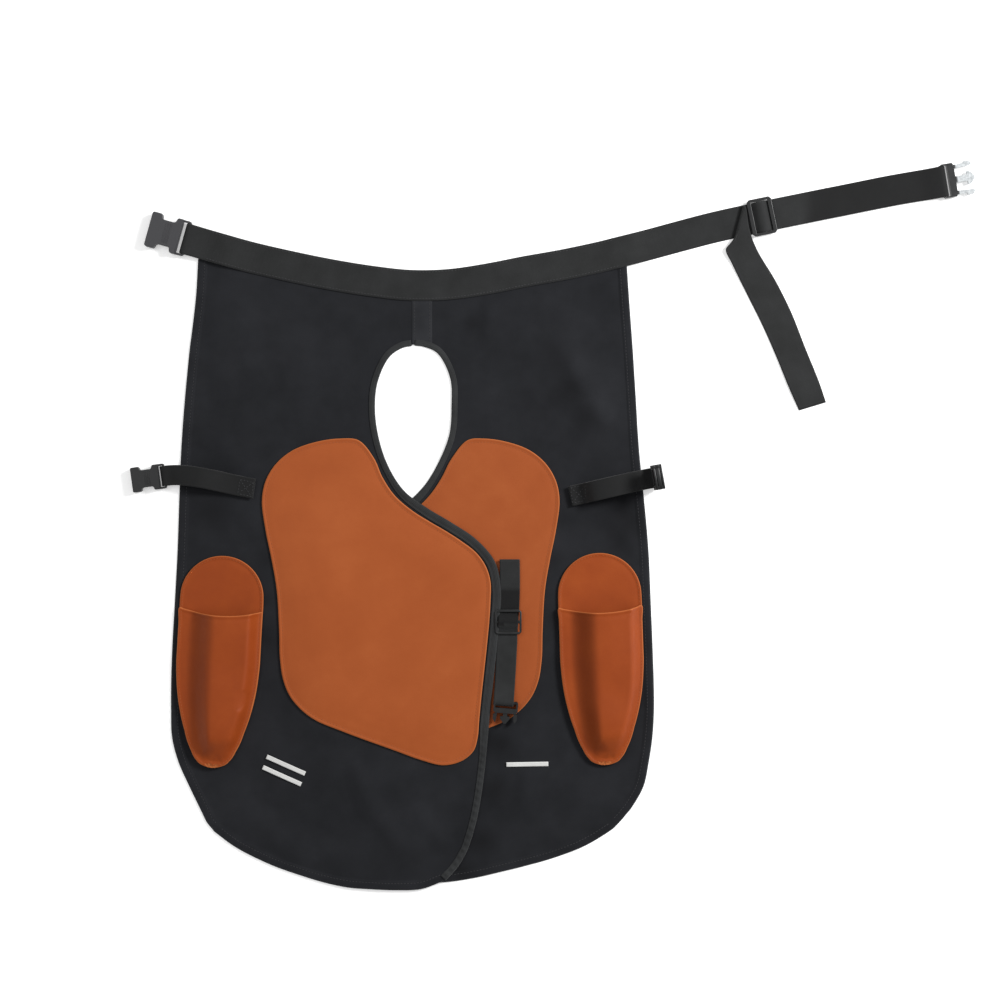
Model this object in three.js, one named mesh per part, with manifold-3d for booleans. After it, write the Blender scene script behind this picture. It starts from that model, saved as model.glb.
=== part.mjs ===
// A split leather-and-canvas apron for shoeing work, laid flat on the floor with its belt spread out.
// Units are millimetres. X runs along the belt, Y towards the belt's side, Z up from the floor.
// The design origin is the centre seam at the belt's lower edge, on the floor.
import * as THREE from 'three';
import { mergeVertices } from 'three/addons/utils/BufferGeometryUtils.js';
import Module from 'manifold-3d';

const wasm = await Module();
wasm.setup();

// Overall sizes of the canvas body.
const apronHalfWidth = 299;
const apronDrop = 730;
const beltCentreRise = 18;

// Cloth, leather and webbing.
const canvasThickness = 1.2;
const hemThickness = 2.4;
const leatherThickness = 1.8;
const bindingThickness = 0.9;
const bindingWidth = 10.5;
const webbingThickness = 1.6;
const layerGap = 0.5;
const seamGap = 0.6;

// Belt.
const beltWidth = 38;
const beltLeftOverhang = 11;
const beltFreeRun = 388;
const beltFoldBack = 48;
const tailDrop = 254;

// Leg straps.
const legWebbingWidth = 25;
const legStrapReachLeft = 113;
const legStrapReachRight = 108;
const legStrapArchLeft = 17;
const legStrapArchRight = 21;
const legStrapUnderStart = 14;
const innerStrapReach = 177;
const innerSliderFromPlug = 100;
const innerTailRise = 34;

// Pockets.
const pocketWidth = 103;
const pocketLength = 262;
const pocketFootLength = 124;
const pocketMouthDrop = 66;
const pocketBulge = 21;
const pocketFlange = 7;

// Knee patches.
const patchBindingGap = 1.2;
const rightPatchShare = 0.97;

// White tapes.
const tapeWidth = 5.5;
const tapeThickness = 0.8;
const tapeLength = 52;

// How wide the upper side's climb onto the lower side is.
const lapRamp = 120;

// Buckle clearance round webbing, and the round bars that webbing turns about.
const webbingClearance = 0.4;
const barRadius = 2.2;
const barSlot = 4.4;

const beltSocketSize = {
  webbing: beltWidth, width: 44, length: 50, height: 12, waistWidth: 31.5, waistStart: 22, waistEnd: 36, wall: 2.2,
};
const legSocketSize = {
  webbing: legWebbingWidth, width: 31, length: 42, height: 11, waistWidth: 18, waistStart: 17, waistEnd: 29, wall: 2,
};
const beltPlugSize = {
  webbing: beltWidth, width: 42, bodyLength: 17, height: 9, prongLength: 24, prongHeight: 5,
};
const legPlugSize = {
  webbing: legWebbingWidth, width: 30, bodyLength: 15, height: 8, prongLength: 13, prongHeight: 4.5,
};
const beltSliderSize = { webbing: beltWidth, width: 46, length: 31, height: 2.4, bar: 5 };
const legSliderSize = { webbing: legWebbingWidth, width: 31, length: 29, height: 2.2, bar: 4.4 };

const LEFT = -1;
const RIGHT = 1;

function table(columns, rows) {
  return rows.map((row) => Object.fromEntries(columns.map((name, index) => [name, row[index]])));
}

// Edges of each side. Across is measured from the centre seam towards the side's own pocket, as a share of
// apronHalfWidth, and is negative where a side reaches over the seam. Down is a share of apronDrop.
const edgeColumns = ['across', 'down'];
const leftEdges = {
  outer: table(edgeColumns, [
    [0.90, 0.0], [0.925, 0.085], [0.945, 0.17], [0.96, 0.255], [0.968, 0.34], [0.975, 0.425], [0.986, 0.51],
    [0.998, 0.6], [1.002, 0.68], [0.995, 0.75], [0.965, 0.79], [0.92, 0.83], [0.855, 0.885],
  ]),
  hem: table(edgeColumns, [
    [-0.195, 0.953], [-0.137, 0.982], [-0.06, 0.996], [0.02, 1.0], [0.155, 0.999], [0.3, 0.994],
    [0.47, 0.975], [0.61, 0.954], [0.72, 0.931], [0.8, 0.911], [0.855, 0.885],
  ]),
  inner: table(edgeColumns, [
    [0.0, 0.078], [0.062, 0.086], [0.12, 0.105], [0.152, 0.145], [0.159, 0.195], [0.12, 0.268],
    [0.037, 0.325], [-0.07, 0.357], [-0.207, 0.391], [-0.305, 0.424], [-0.354, 0.463], [-0.36, 0.508],
    [-0.319, 0.686], [-0.28, 0.839], [-0.235, 0.92], [-0.195, 0.953],
  ]),
};
const rightEdges = {
  outer: table(edgeColumns, [
    [0.895, 0.0], [0.91, 0.085], [0.923, 0.17], [0.936, 0.255], [0.957, 0.34], [0.975, 0.425], [0.984, 0.51],
    [0.993, 0.6], [0.998, 0.68], [0.994, 0.73], [0.98, 0.772], [0.962, 0.815], [0.928, 0.848], [0.865, 0.881],
  ]),
  hem: table(edgeColumns, [
    [-0.186, 0.937], [-0.137, 0.963], [-0.06, 0.98], [0.05, 0.988], [0.2, 0.984], [0.4, 0.966],
    [0.56, 0.949], [0.675, 0.932], [0.76, 0.915], [0.824, 0.898], [0.865, 0.881],
  ]),
  inner: table(edgeColumns, [
    [0.0, 0.078], [0.07, 0.084], [0.117, 0.094], [0.15, 0.12], [0.161, 0.165], [0.157, 0.22],
    [0.13, 0.256], [0.07, 0.303], [0.003, 0.337], [-0.066, 0.356], [-0.203, 0.388], [-0.298, 0.42],
    [-0.348, 0.459], [-0.355, 0.508], [-0.315, 0.683], [-0.277, 0.831], [-0.228, 0.907], [-0.186, 0.937],
  ]),
};

// The knee patch's free side, from beside the keyhole round the outside to the foot of the inner edge.
const patchFreeSide = table(edgeColumns, [
  [0.225, 0.238], [0.30, 0.235], [0.393, 0.24], [0.493, 0.254], [0.563, 0.276], [0.608, 0.305], [0.625, 0.339],
  [0.61, 0.39], [0.584, 0.441], [0.563, 0.492], [0.553, 0.559], [0.549, 0.61], [0.533, 0.648], [0.497, 0.678],
  [0.418, 0.708], [0.282, 0.732], [0.075, 0.763], [-0.04, 0.78], [-0.125, 0.788], [-0.2, 0.781], [-0.25, 0.764],
]);
// The stretch of the inner edge that the patch follows, as shares of apronDrop from the belt's lower edge.
const patchInnerTop = 0.262;
const patchInnerFoot = 0.742;
const patchMiddle = { across: 0.16, down: 0.5 };

// How far the belt reaches from the centre seam to the bars of its buckles.
const beltReachLeft = leftEdges.outer[0].across * apronHalfWidth + beltLeftOverhang;
const beltReachRight = rightEdges.outer[0].across * apronHalfWidth + beltFreeRun;

// The belt's centre line: along and rise are shares of the reach on that side.
const beltColumns = ['along', 'rise'];
const beltRouteLeft = table(beltColumns, [[1.0, 0.203], [0.72, 0.125], [0.5, 0.075], [0.26, 0.03]]);
const beltRouteRight = table(beltColumns, [
  [0.09, 0.004], [0.2, 0.024], [0.315, 0.045], [0.4, 0.065], [0.457, 0.08], [0.57, 0.11],
  [0.74, 0.146], [0.825, 0.163], [0.91, 0.18], [1.0, 0.195],
]);
const beltSliderAlong = 0.658;

// The belt's free tail, from the slanting fold to its cut end. Places are shares of tailDrop from the fold's
// top corner, and the heights of the two edges are shares of the folded stack's height.
const tailColumns = ['leftX', 'leftDown', 'rightX', 'rightDown', 'leftRise', 'rightRise'];
const tailRows = table(tailColumns, [
  [-0.085, 0.215, 0.03, 0.12, 0.85, 1.0],
  [-0.052, 0.29, 0.066, 0.215, 0.3, 0.75],
  [0.03, 0.455, 0.16, 0.37, 0.0, 0.15],
  [0.097, 0.59, 0.236, 0.522, 0.0, 0.0],
  [0.165, 0.745, 0.303, 0.692, 0.1, 0.0],
  [0.225, 0.893, 0.37, 0.858, 0.2, 0.1],
  [0.273, 1.0, 0.405, 0.96, 0.0, 0.0],
]);

// Soft folds of the canvas. The crest runs from one place to the other; spread and rise are shares of
// foldSpread and foldRise.
const foldSpread = 62;
const foldRise = 5;
const foldColumns = ['side', 'fromAcross', 'fromDown', 'toAcross', 'toDown', 'spread', 'rise'];
const folds = table(foldColumns, [
  [RIGHT, 0.6, 0.1, 0.74, 0.2, 1.0, 1.0],
  [RIGHT, 0.38, 0.87, 0.72, 0.82, 0.8, 0.6],
  [LEFT, 0.62, 0.13, 0.72, 0.22, 0.9, 0.7],
  [LEFT, 0.3, 0.84, 0.02, 0.92, 0.8, 0.7],
  [LEFT, 0.62, 0.74, 0.5, 0.87, 0.8, 0.5],
]);

// Where the outer leg straps are sewn on, the way their bars lie from there, and the way their buckles point.
const legStrapPlaces = {
  outerLeft: { sewn: { across: 0.655, down: 0.32 }, heading: 172, buckleHeading: 188 },
  outerRight: { sewn: { across: 0.65, down: 0.333 }, heading: 12.5, buckleHeading: 10 },
};
const innerStrapBar = { across: 0.385, down: 0.682 };

// Strap profiles: along is a share of the strap's reach from its sewn end, rise a share of its arch.
const profileColumns = ['along', 'rise'];
const archLeft = table(profileColumns, [
  [0.0, 0.0], [0.14, 0.0], [0.26, 0.1], [0.38, 0.38], [0.5, 0.78], [0.6, 1.0], [0.72, 0.96], [0.84, 0.66], [0.93, 0.4],
]);
const archRight = table(profileColumns, [
  [0.0, 0.0], [0.09, 0.0], [0.15, 0.12], [0.2, 0.5], [0.27, 0.85], [0.38, 1.0], [0.52, 1.0], [0.66, 0.86],
  [0.8, 0.6], [0.91, 0.35],
]);

// Pocket tops and how far the pockets splay outwards at the foot, in degrees.
const pocketPlaces = {
  [LEFT]: { across: 0.79, down: 0.434, splay: 3.2 },
  [RIGHT]: { across: 0.77, down: 0.429, splay: 1.9 },
};
const pocketMouthSag = 7;

const tapePlaces = [
  { name: 'tape_left_upper', side: LEFT, across: 0.525, down: 0.788, turn: -24 },
  { name: 'tape_left_lower', side: LEFT, across: 0.541, down: 0.806, turn: -24 },
  { name: 'tape_right', side: RIGHT, across: 0.473, down: 0.787, turn: 1 },
];

const canvasMaterial = new THREE.MeshStandardMaterial({ color: 0x2d2e32, roughness: 0.92, metalness: 0 });
const bindingMaterial = new THREE.MeshStandardMaterial({ color: 0x3c3e3e, roughness: 0.85, metalness: 0 });
const leatherMaterial = new THREE.MeshStandardMaterial({ color: 0x9b4e2a, roughness: 0.62, metalness: 0 });
const webbingMaterial = new THREE.MeshStandardMaterial({ color: 0x323333, roughness: 0.8, metalness: 0 });
const plasticMaterial = new THREE.MeshStandardMaterial({ color: 0x151617, roughness: 0.42, metalness: 0 });
const greyPlasticMaterial = new THREE.MeshStandardMaterial({ color: 0x505054, roughness: 0.45, metalness: 0 });
const tapeMaterial = new THREE.MeshStandardMaterial({ color: 0xdededb, roughness: 0.8, metalness: 0 });

function toPlan(side, place) {
  return new THREE.Vector3(side * place.across * apronHalfWidth, -place.down * apronDrop, 0);
}

function smoothCurve(points) {
  return new THREE.CatmullRomCurve3(points, false, 'centripetal');
}

function mix(a, b, share) {
  return a + (b - a) * share;
}

function evenStops(count) {
  return Array.from({ length: count + 1 }, (_, index) => index / count);
}

// Heights

const patchStack = canvasThickness + layerGap + leatherThickness + layerGap;
const strapStack = patchStack + webbingThickness + layerGap;
const bareStack = hemThickness + 2 * layerGap;

// The lower side's hidden inner edge, from the keyhole's tip to the hem.
const keyholeTipRow = rightEdges.inner.findIndex((row) => row.across < 0.01 && row.down > 0.3);
const coveredEdge = smoothCurve(rightEdges.inner.slice(keyholeTipRow).map((row) => toPlan(RIGHT, row)))
  .getSpacedPoints(60);

function distanceToCovered(x, y) {
  const point = new THREE.Vector2(x, y);
  let nearest = Infinity;
  let inside = false;
  for (let index = 1; index < coveredEdge.length; index += 1) {
    const start = new THREE.Vector2(coveredEdge[index - 1].x, coveredEdge[index - 1].y);
    const end = new THREE.Vector2(coveredEdge[index].x, coveredEdge[index].y);
    const along = end.clone().sub(start);
    const share = THREE.MathUtils.clamp(point.clone().sub(start).dot(along) / along.lengthSq(), 0, 1);
    nearest = Math.min(nearest, point.distanceTo(start.addScaledVector(along, share)));
    if (y <= coveredEdge[index - 1].y && y > coveredEdge[index].y) {
      inside = x > end.x;
    }
  }
  const lastY = coveredEdge[coveredEdge.length - 1].y;
  if (y <= lastY) {
    inside = x > coveredEdge[coveredEdge.length - 1].x;
  }
  return inside ? 0 : nearest;
}

// How high the upper side's underside lies once it rests on the lower side.
function lapHeight(y) {
  const down = -y / apronDrop;
  const ontoStrap = THREE.MathUtils.smoothstep(down, 0.34, 0.44);
  const offPatch = THREE.MathUtils.smoothstep(down, 0.72, 0.86);
  return mix(mix(patchStack, strapStack, ontoStrap), bareStack, offPatch);
}

function foldHeight(side, x, y) {
  const point = new THREE.Vector2(x, y);
  return folds.filter((fold) => fold.side === side).reduce((height, fold) => {
    const start = toPlan(side, { across: fold.fromAcross, down: fold.fromDown });
    const end = toPlan(side, { across: fold.toAcross, down: fold.toDown });
    const crest = new THREE.Line3(start, end);
    const nearest = crest.closestPointToPoint(new THREE.Vector3(point.x, point.y, 0), true, new THREE.Vector3());
    const away = nearest.distanceTo(new THREE.Vector3(point.x, point.y, 0)) / (fold.spread * foldSpread);
    return height + fold.rise * foldRise * (1 - THREE.MathUtils.smoothstep(away, 0, 1));
  }, 0);
}

function canvasUnderside(side, x, y) {
  const swell = foldHeight(side, x, y);
  if (side === RIGHT) {
    return swell;
  }
  const away = distanceToCovered(x, y) / lapRamp;
  return swell + lapHeight(y) * (1 - THREE.MathUtils.smoothstep(away, 0, 1));
}

function canvasTop(side, x, y) {
  return canvasUnderside(side, x, y) + canvasThickness;
}

function hemTop(side, x, y) {
  return canvasUnderside(side, x, y) + hemThickness;
}

// Geometry builders

// Closes a sheet whose middle surface is given point by point, in loops of top and bottom vertices.
function closeSheet(middle, normals, thicknesses, faces, rim) {
  const count = middle.length;
  const positions = [];
  for (const sign of [1, -1]) {
    middle.forEach((point, index) => {
      const vertex = point.clone().addScaledVector(normals[index], sign * thicknesses[index] / 2);
      positions.push(vertex.x, vertex.y, vertex.z);
    });
  }
  const indices = [];
  for (const [a, b, c] of faces) {
    indices.push(a, b, c);
    indices.push(a + count, c + count, b + count);
  }
  rim.forEach((start, index) => {
    const end = rim[(index + 1) % rim.length];
    indices.push(start, start + count, end + count);
    indices.push(start, end + count, end);
  });
  const geometry = new THREE.BufferGeometry();
  geometry.setAttribute('position', new THREE.Float32BufferAttribute(positions, 3));
  geometry.setIndex(indices);
  return flatShaded(geometry);
}

function flatShaded(geometry) {
  const faceted = geometry.toNonIndexed();
  faceted.computeVertexNormals();
  return faceted;
}

// A sheet over a grid of rows of points. Its upper face looks along (next column) x (next row).
function gridSheet(rows, thicknessAt, upright = false) {
  const lastRow = rows.length - 1;
  const lastColumn = rows[0].length - 1;
  const at = (row, column) => row * (lastColumn + 1) + column;
  const middle = rows.flat();
  const normals = [];
  const thicknesses = [];
  for (let row = 0; row <= lastRow; row += 1) {
    for (let column = 0; column <= lastColumn; column += 1) {
      const along = rows[row][Math.min(column + 1, lastColumn)].clone().sub(rows[row][Math.max(column - 1, 0)]);
      const down = rows[Math.min(row + 1, lastRow)][column].clone().sub(rows[Math.max(row - 1, 0)][column]);
      normals.push(upright ? new THREE.Vector3(0, 0, 1) : along.cross(down).normalize());
      thicknesses.push(thicknessAt(row, column));
    }
  }
  const faces = [];
  for (let row = 0; row < lastRow; row += 1) {
    for (let column = 0; column < lastColumn; column += 1) {
      faces.push([at(row, column), at(row, column + 1), at(row + 1, column)]);
      faces.push([at(row, column + 1), at(row + 1, column + 1), at(row + 1, column)]);
    }
  }
  const rim = [];
  for (let column = 0; column < lastColumn; column += 1) rim.push(at(0, column));
  for (let row = 0; row < lastRow; row += 1) rim.push(at(row, lastColumn));
  for (let column = lastColumn; column > 0; column -= 1) rim.push(at(lastRow, column));
  for (let row = lastRow; row > 0; row -= 1) rim.push(at(row, 0));
  return closeSheet(middle, normals, thicknesses, faces, rim);
}

// A sheet filled from a middle point to a closed outline in rings; its underside rests at heightAt.
function ringSheet(middlePoint, outline, ringShares, heightAt, thickness) {
  const loop = outlineFacesUp(outline) ? outline : outline.slice().reverse();
  const middle = [middlePoint.clone()];
  for (const share of ringShares) {
    for (const point of loop) {
      middle.push(middlePoint.clone().lerp(point, share));
    }
  }
  for (const point of middle) {
    point.z = heightAt(point.x, point.y) + thickness / 2;
  }
  const count = loop.length;
  const faces = [];
  for (let index = 0; index < count; index += 1) {
    const next = (index + 1) % count;
    faces.push([0, 1 + index, 1 + next]);
    for (let ring = 1; ring < ringShares.length; ring += 1) {
      const inner = 1 + (ring - 1) * count;
      const outer = 1 + ring * count;
      faces.push([inner + index, outer + index, outer + next]);
      faces.push([inner + index, outer + next, inner + next]);
    }
  }
  const last = 1 + (ringShares.length - 1) * count;
  const rim = loop.map((_, index) => last + index);
  const normals = middle.map(() => new THREE.Vector3(0, 0, 1));
  return closeSheet(middle, normals, middle.map(() => thickness), faces, rim);
}

function outlineFacesUp(outline) {
  const flat = outline.map((point) => new THREE.Vector2(point.x, point.y));
  return THREE.ShapeUtils.area(flat) > 0;
}

function toManifold(geometry) {
  const bare = new THREE.BufferGeometry();
  bare.setAttribute('position', geometry.getAttribute('position').clone());
  if (geometry.index) {
    bare.setIndex(geometry.index.clone());
  }
  const merged = mergeVertices(bare, 1e-4);
  const vertProperties = new Float32Array(merged.attributes.position.array);
  const triVerts = new Uint32Array(merged.index.array);
  return new wasm.Manifold(new wasm.Mesh({ numProp: 3, vertProperties, triVerts }));
}

function fromManifold(manifold) {
  const mesh = manifold.getMesh();
  const geometry = new THREE.BufferGeometry();
  geometry.setAttribute('position', new THREE.Float32BufferAttribute(mesh.vertProperties, mesh.numProp));
  geometry.setIndex(Array.from(mesh.triVerts));
  return flatShaded(geometry);
}

// A plate cut to a plan shape, centred on z = 0.
function plate(shape, height) {
  const geometry = new THREE.ExtrudeGeometry(shape, { depth: height, bevelEnabled: false });
  return toManifold(geometry.translate(0, 0, -height / 2));
}

function block(fromX, toX, width, height, centreY = 0) {
  const geometry = new THREE.BoxGeometry(toX - fromX, width, height);
  return toManifold(geometry.translate((fromX + toX) / 2, centreY, 0));
}

function planShape(points) {
  return new THREE.Shape(points.map(([x, y]) => new THREE.Vector2(x, y)));
}

// Adds the lower half of a plan outline as the mirror image of its upper half.
function mirroredShape(upperHalf) {
  const lowerHalf = upperHalf.map(([x, y]) => [x, -y]).reverse();
  return planShape([...upperHalf, ...lowerHalf]);
}

// Straps

function planPoint(curve, distance) {
  const length = curve.getLength();
  const share = THREE.MathUtils.clamp(distance / length, 0, 1);
  const tangent = curve.getTangentAt(share);
  const beyond = distance - share * length;
  return { point: curve.getPointAt(share).addScaledVector(tangent, beyond), tangent };
}

// Each station of a strap has a plan curve, a distance along it and the height of the webbing's middle.
function strapRows(stations, width) {
  return stations.map(({ curve, distance, height }) => {
    const { point, tangent } = planPoint(curve, distance);
    const aside = new THREE.Vector3(-tangent.y, tangent.x, 0).normalize();
    return [width / 2, -width / 2].map((offset) => {
      const edgePoint = point.clone().addScaledVector(aside, offset);
      edgePoint.z = height;
      return edgePoint;
    });
  });
}

const wrapRadius = barRadius + webbingClearance + webbingThickness / 2;

// Stations of the half turn about a buckle's bar, from its underside to its top.
function wrapStations(curve, barDistance, barHeight, outward) {
  return evenStops(6).map((share) => {
    const angle = Math.PI * share - Math.PI / 2;
    return {
      curve,
      distance: barDistance + outward * wrapRadius * Math.cos(angle),
      height: barHeight + wrapRadius * Math.sin(angle),
    };
  });
}

function strapSheet(rows) {
  return gridSheet(rows, () => webbingThickness);
}

// Stations through a slider that lies over a lower run: under its end bars and over its middle bar.
function sliderStations(curve, centre, size, lowHeight, towards) {
  const over = lowHeight + webbingThickness + 2 * webbingClearance + size.height;
  const endBar = size.length / 2 - size.bar;
  const middleBar = size.bar / 2 + 0.7;
  const columns = [
    [size.length / 2 + 1, lowHeight], [endBar - 0.4, lowHeight], [middleBar, over],
    [-middleBar, over], [0.4 - endBar, lowHeight], [-size.length / 2 - 1, lowHeight],
  ];
  return columns.map(([offset, height]) => ({ curve, distance: centre - towards * offset, height }));
}

// Canvas sides

const beltPlan = smoothCurve([
  ...beltRouteLeft.map((row) => new THREE.Vector3(
    -row.along * beltReachLeft,
    beltCentreRise + row.rise * beltReachLeft,
    0,
  )),
  new THREE.Vector3(0, beltCentreRise, 0),
  ...beltRouteRight.map((row) => new THREE.Vector3(
    row.along * beltReachRight,
    beltCentreRise + row.rise * beltReachRight,
    0,
  )),
]);
const beltLength = beltPlan.getLength();
const beltSamples = beltPlan.getSpacedPoints(240);

function beltPlaceAt(x) {
  const after = Math.max(1, beltSamples.findIndex((point) => point.x > x));
  const share = (x - beltSamples[after - 1].x) / (beltSamples[after].x - beltSamples[after - 1].x);
  return {
    distance: ((after - 1 + share) / (beltSamples.length - 1)) * beltLength,
    y: mix(beltSamples[after - 1].y, beltSamples[after].y, share),
  };
}

function sideEdges(side) {
  return side === LEFT ? leftEdges : rightEdges;
}

function innerEdgeCurve(side) {
  const seamTop = new THREE.Vector3(side * seamGap / 2, beltCentreRise, 0);
  const rows = sideEdges(side).inner.map((row) => toPlan(side, row));
  rows[0].x += side * seamGap / 2;
  const seam = [0.35, 0.7, 0.94].map((share) => seamTop.clone().lerp(rows[0], share));
  return smoothCurve([seamTop, ...seam, ...rows]);
}

function outerEdgeCurve(side) {
  const rows = sideEdges(side).outer.map((row) => toPlan(side, row));
  const cornerX = rows[0].x - side * 4;
  return smoothCurve([new THREE.Vector3(cornerX, beltPlaceAt(cornerX).y, 0), ...rows]);
}

const hemStop = 0.966;
const bindingEndStop = 0.972;
const columnStops = [...evenStops(11).map((stop) => stop * 0.955), hemStop, 1];
columnStops.splice(1, 0, 0.035);
const rowStops = [...evenStops(22).map((stop) => stop * 0.976), 0.984, 1];

function canvasSide(side) {
  const inner = innerEdgeCurve(side);
  const outer = outerEdgeCurve(side);
  const hem = smoothCurve(sideEdges(side).hem.map((row) => toPlan(side, row)));
  const innerFoot = inner.getPointAt(1);
  const outerFoot = outer.getPointAt(1);
  const thicknessAt = (row, column) => {
    const hemmed = columnStops[column] >= hemStop || rowStops[row] >= 0.984;
    return hemmed ? hemThickness : canvasThickness;
  };
  const rows = rowStops.map((down, row) => columnStops.map((across, column) => {
    const point = inner.getPointAt(down).lerp(outer.getPointAt(down), across);
    const sag = hem.getPointAt(across).sub(innerFoot.clone().lerp(outerFoot, across));
    point.addScaledVector(sag, down);
    point.z = canvasUnderside(side, point.x, point.y) + thicknessAt(row, column) / 2;
    return point;
  }));
  if (side === RIGHT) {
    rows.forEach((row) => row.reverse());
    return gridSheet(rows, (row, column) => thicknessAt(row, columnStops.length - 1 - column), true);
  }
  return gridSheet(rows, thicknessAt, true);
}

// Points beside a side's inner edge, inset towards that side's own pocket.
function insetFromInnerEdge(side, share, inset) {
  const curve = innerEdgeCurve(side);
  const tangent = curve.getTangentAt(share);
  const inward = new THREE.Vector3(tangent.y, -tangent.x, 0).multiplyScalar(-side);
  return curve.getPointAt(share).addScaledVector(inward.negate(), -inset);
}

function shareAtDown(curve, down) {
  const points = curve.getSpacedPoints(400);
  const index = points.findIndex((point) => point.y <= -down * apronDrop);
  return index / 400;
}

function bindingStrip(side) {
  const curve = innerEdgeCurve(side);
  const start = shareAtDown(curve, sideEdges(side).inner[0].down) + 0.004;
  const rows = evenStops(56).map((stop) => {
    const share = mix(start, bindingEndStop, stop);
    return [-0.4, bindingWidth / 2, bindingWidth].map((inset) => {
      const point = insetFromInnerEdge(side, share, inset);
      point.z = canvasTop(side, point.x, point.y) + layerGap + bindingThickness / 2;
      return point;
    });
  });
  if (side === RIGHT) {
    rows.forEach((row) => row.reverse());
  }
  return gridSheet(rows, () => bindingThickness, true);
}

function kneePatch(side) {
  const curve = innerEdgeCurve(side);
  const top = shareAtDown(curve, patchInnerTop);
  const foot = shareAtDown(curve, patchInnerFoot);
  const inset = bindingWidth + patchBindingGap;
  const innerSide = evenStops(17).map((stop) => insetFromInnerEdge(side, mix(foot, top, stop), inset));
  const share = side === RIGHT ? rightPatchShare : 1;
  const freeSide = patchFreeSide.map(({ across, down }) => toPlan(side, {
    across: across > 0.25 ? across * share : across,
    down,
  }));
  const restOn = (x, y) => canvasTop(side, x, y) + layerGap;
  return ringSheet(
    toPlan(side, patchMiddle),
    [...freeSide, ...innerSide],
    evenStops(6).slice(1),
    restOn,
    leatherThickness,
  );
}

// Pockets: along runs from the pocket's top to its foot, aside across it.
function pocketPoint(side, along, aside) {
  const place = pocketPlaces[side];
  const angle = THREE.MathUtils.degToRad(place.splay) * side;
  return new THREE.Vector3(aside, -along, 0)
    .applyAxisAngle(new THREE.Vector3(0, 0, 1), angle)
    .add(toPlan(side, place));
}

function pocketHalfWidth(along) {
  const shoulder = pocketWidth / 2;
  const foot = pocketLength - pocketFootLength;
  if (along < shoulder) {
    return Math.sqrt(Math.max(0, shoulder ** 2 - (shoulder - along) ** 2));
  }
  const reach = THREE.MathUtils.clamp((along - foot) / pocketFootLength, 0, 1);
  return shoulder * Math.sqrt(1 - reach ** 2);
}

function pocketBack(side) {
  const shoulder = pocketWidth / 2;
  const foot = pocketLength - pocketFootLength;
  const upper = evenStops(8).map((stop) => shoulder - shoulder * Math.cos(Math.PI * stop / 2)).slice(1);
  const lower = evenStops(9).map((stop) => foot + pocketFootLength * Math.sin(Math.PI * stop / 2));
  const stops = [...upper, (shoulder + foot) / 2, ...lower.slice(0, -1)];
  const outline = [
    pocketPoint(side, 0, 0),
    ...stops.map((along) => pocketPoint(side, along, pocketHalfWidth(along))),
    pocketPoint(side, pocketLength, 0),
    ...stops.slice().reverse().map((along) => pocketPoint(side, along, -pocketHalfWidth(along))),
  ];
  const restOn = (x, y) => hemTop(side, x, y) + layerGap;
  return ringSheet(pocketPoint(side, pocketLength / 2, 0), outline, [0.5, 1], restOn, leatherThickness);
}

function pocketPouch(side) {
  const flangeHeight = 2 * layerGap + leatherThickness;
  const across = [-1, -0.86, -0.74, -0.55, -0.3, 0, 0.3, 0.55, 0.74, 0.86, 1];
  const foot = pocketLength - pocketFootLength;
  const upper = evenStops(4).map((stop) => mix(pocketMouthDrop, foot, stop));
  const lower = evenStops(7).map((stop) => foot + pocketFootLength * Math.sin(1.5 * stop)).slice(1);
  const rows = [...upper, ...lower].map((along) => {
    const reach = (along - pocketMouthDrop) / (pocketLength - pocketMouthDrop);
    const fullness = Math.sqrt(Math.max(0, 1 - reach ** 2.4)) * (0.9 + 0.1 * Math.sin(Math.PI * reach));
    const halfWidth = pocketHalfWidth(along);
    const edge = Math.max(0, 1 - pocketFlange / Math.max(halfWidth, 1));
    return across.map((stop) => {
      const inner = Math.min(1, Math.abs(stop) / 0.86);
      const spread = Math.abs(stop) <= 0.86 ? (stop / 0.86) * edge : Math.sign(stop) * mix(edge, 1, (Math.abs(stop) - 0.86) / 0.14);
      const sag = pocketMouthSag * (1 - reach) ** 2 * (1 - stop ** 2);
      const point = pocketPoint(side, along + sag, spread * halfWidth);
      const swell = pocketBulge * fullness * Math.min(1, halfWidth / 38) * (1 - inner ** 2.6);
      point.z = hemTop(side, point.x, point.y) + flangeHeight + swell + leatherThickness / 2;
      return point;
    });
  });
  rows.forEach((row) => row.reverse());
  return gridSheet(rows, () => leatherThickness);
}

// Buckles. Their own origin is the bar's middle; +X points from the webbing to the joining end.

function webbingBar(size) {
  const bar = new THREE.CylinderGeometry(barRadius, barRadius, size.width - 2, 10);
  return toManifold(bar);
}

function barOpening(size) {
  return block(-barRadius - 1, barRadius + barSlot, size.webbing + 2 * webbingClearance, size.height * 2);
}

function socketBuckle(size) {
  const half = size.width / 2;
  const waist = size.waistWidth / 2;
  const end = size.length - barRadius;
  const outline = mirroredShape([
    [-barRadius, half - 2], [-barRadius + 2, half], [size.waistStart, half], [size.waistStart + 2, waist],
    [size.waistEnd - 2, waist], [size.waistEnd, half], [end - 3, half], [end, half - 2],
  ]);
  const socketWidth = size.width - 2 * size.wall;
  const socketHeight = size.height - 2 * size.wall;
  const socket = block(barRadius + barSlot + size.wall, end + 1, socketWidth, socketHeight);
  const body = plate(outline, size.height).subtract(barOpening(size)).subtract(socket).add(webbingBar(size));
  return fromManifold(body);
}

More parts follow.
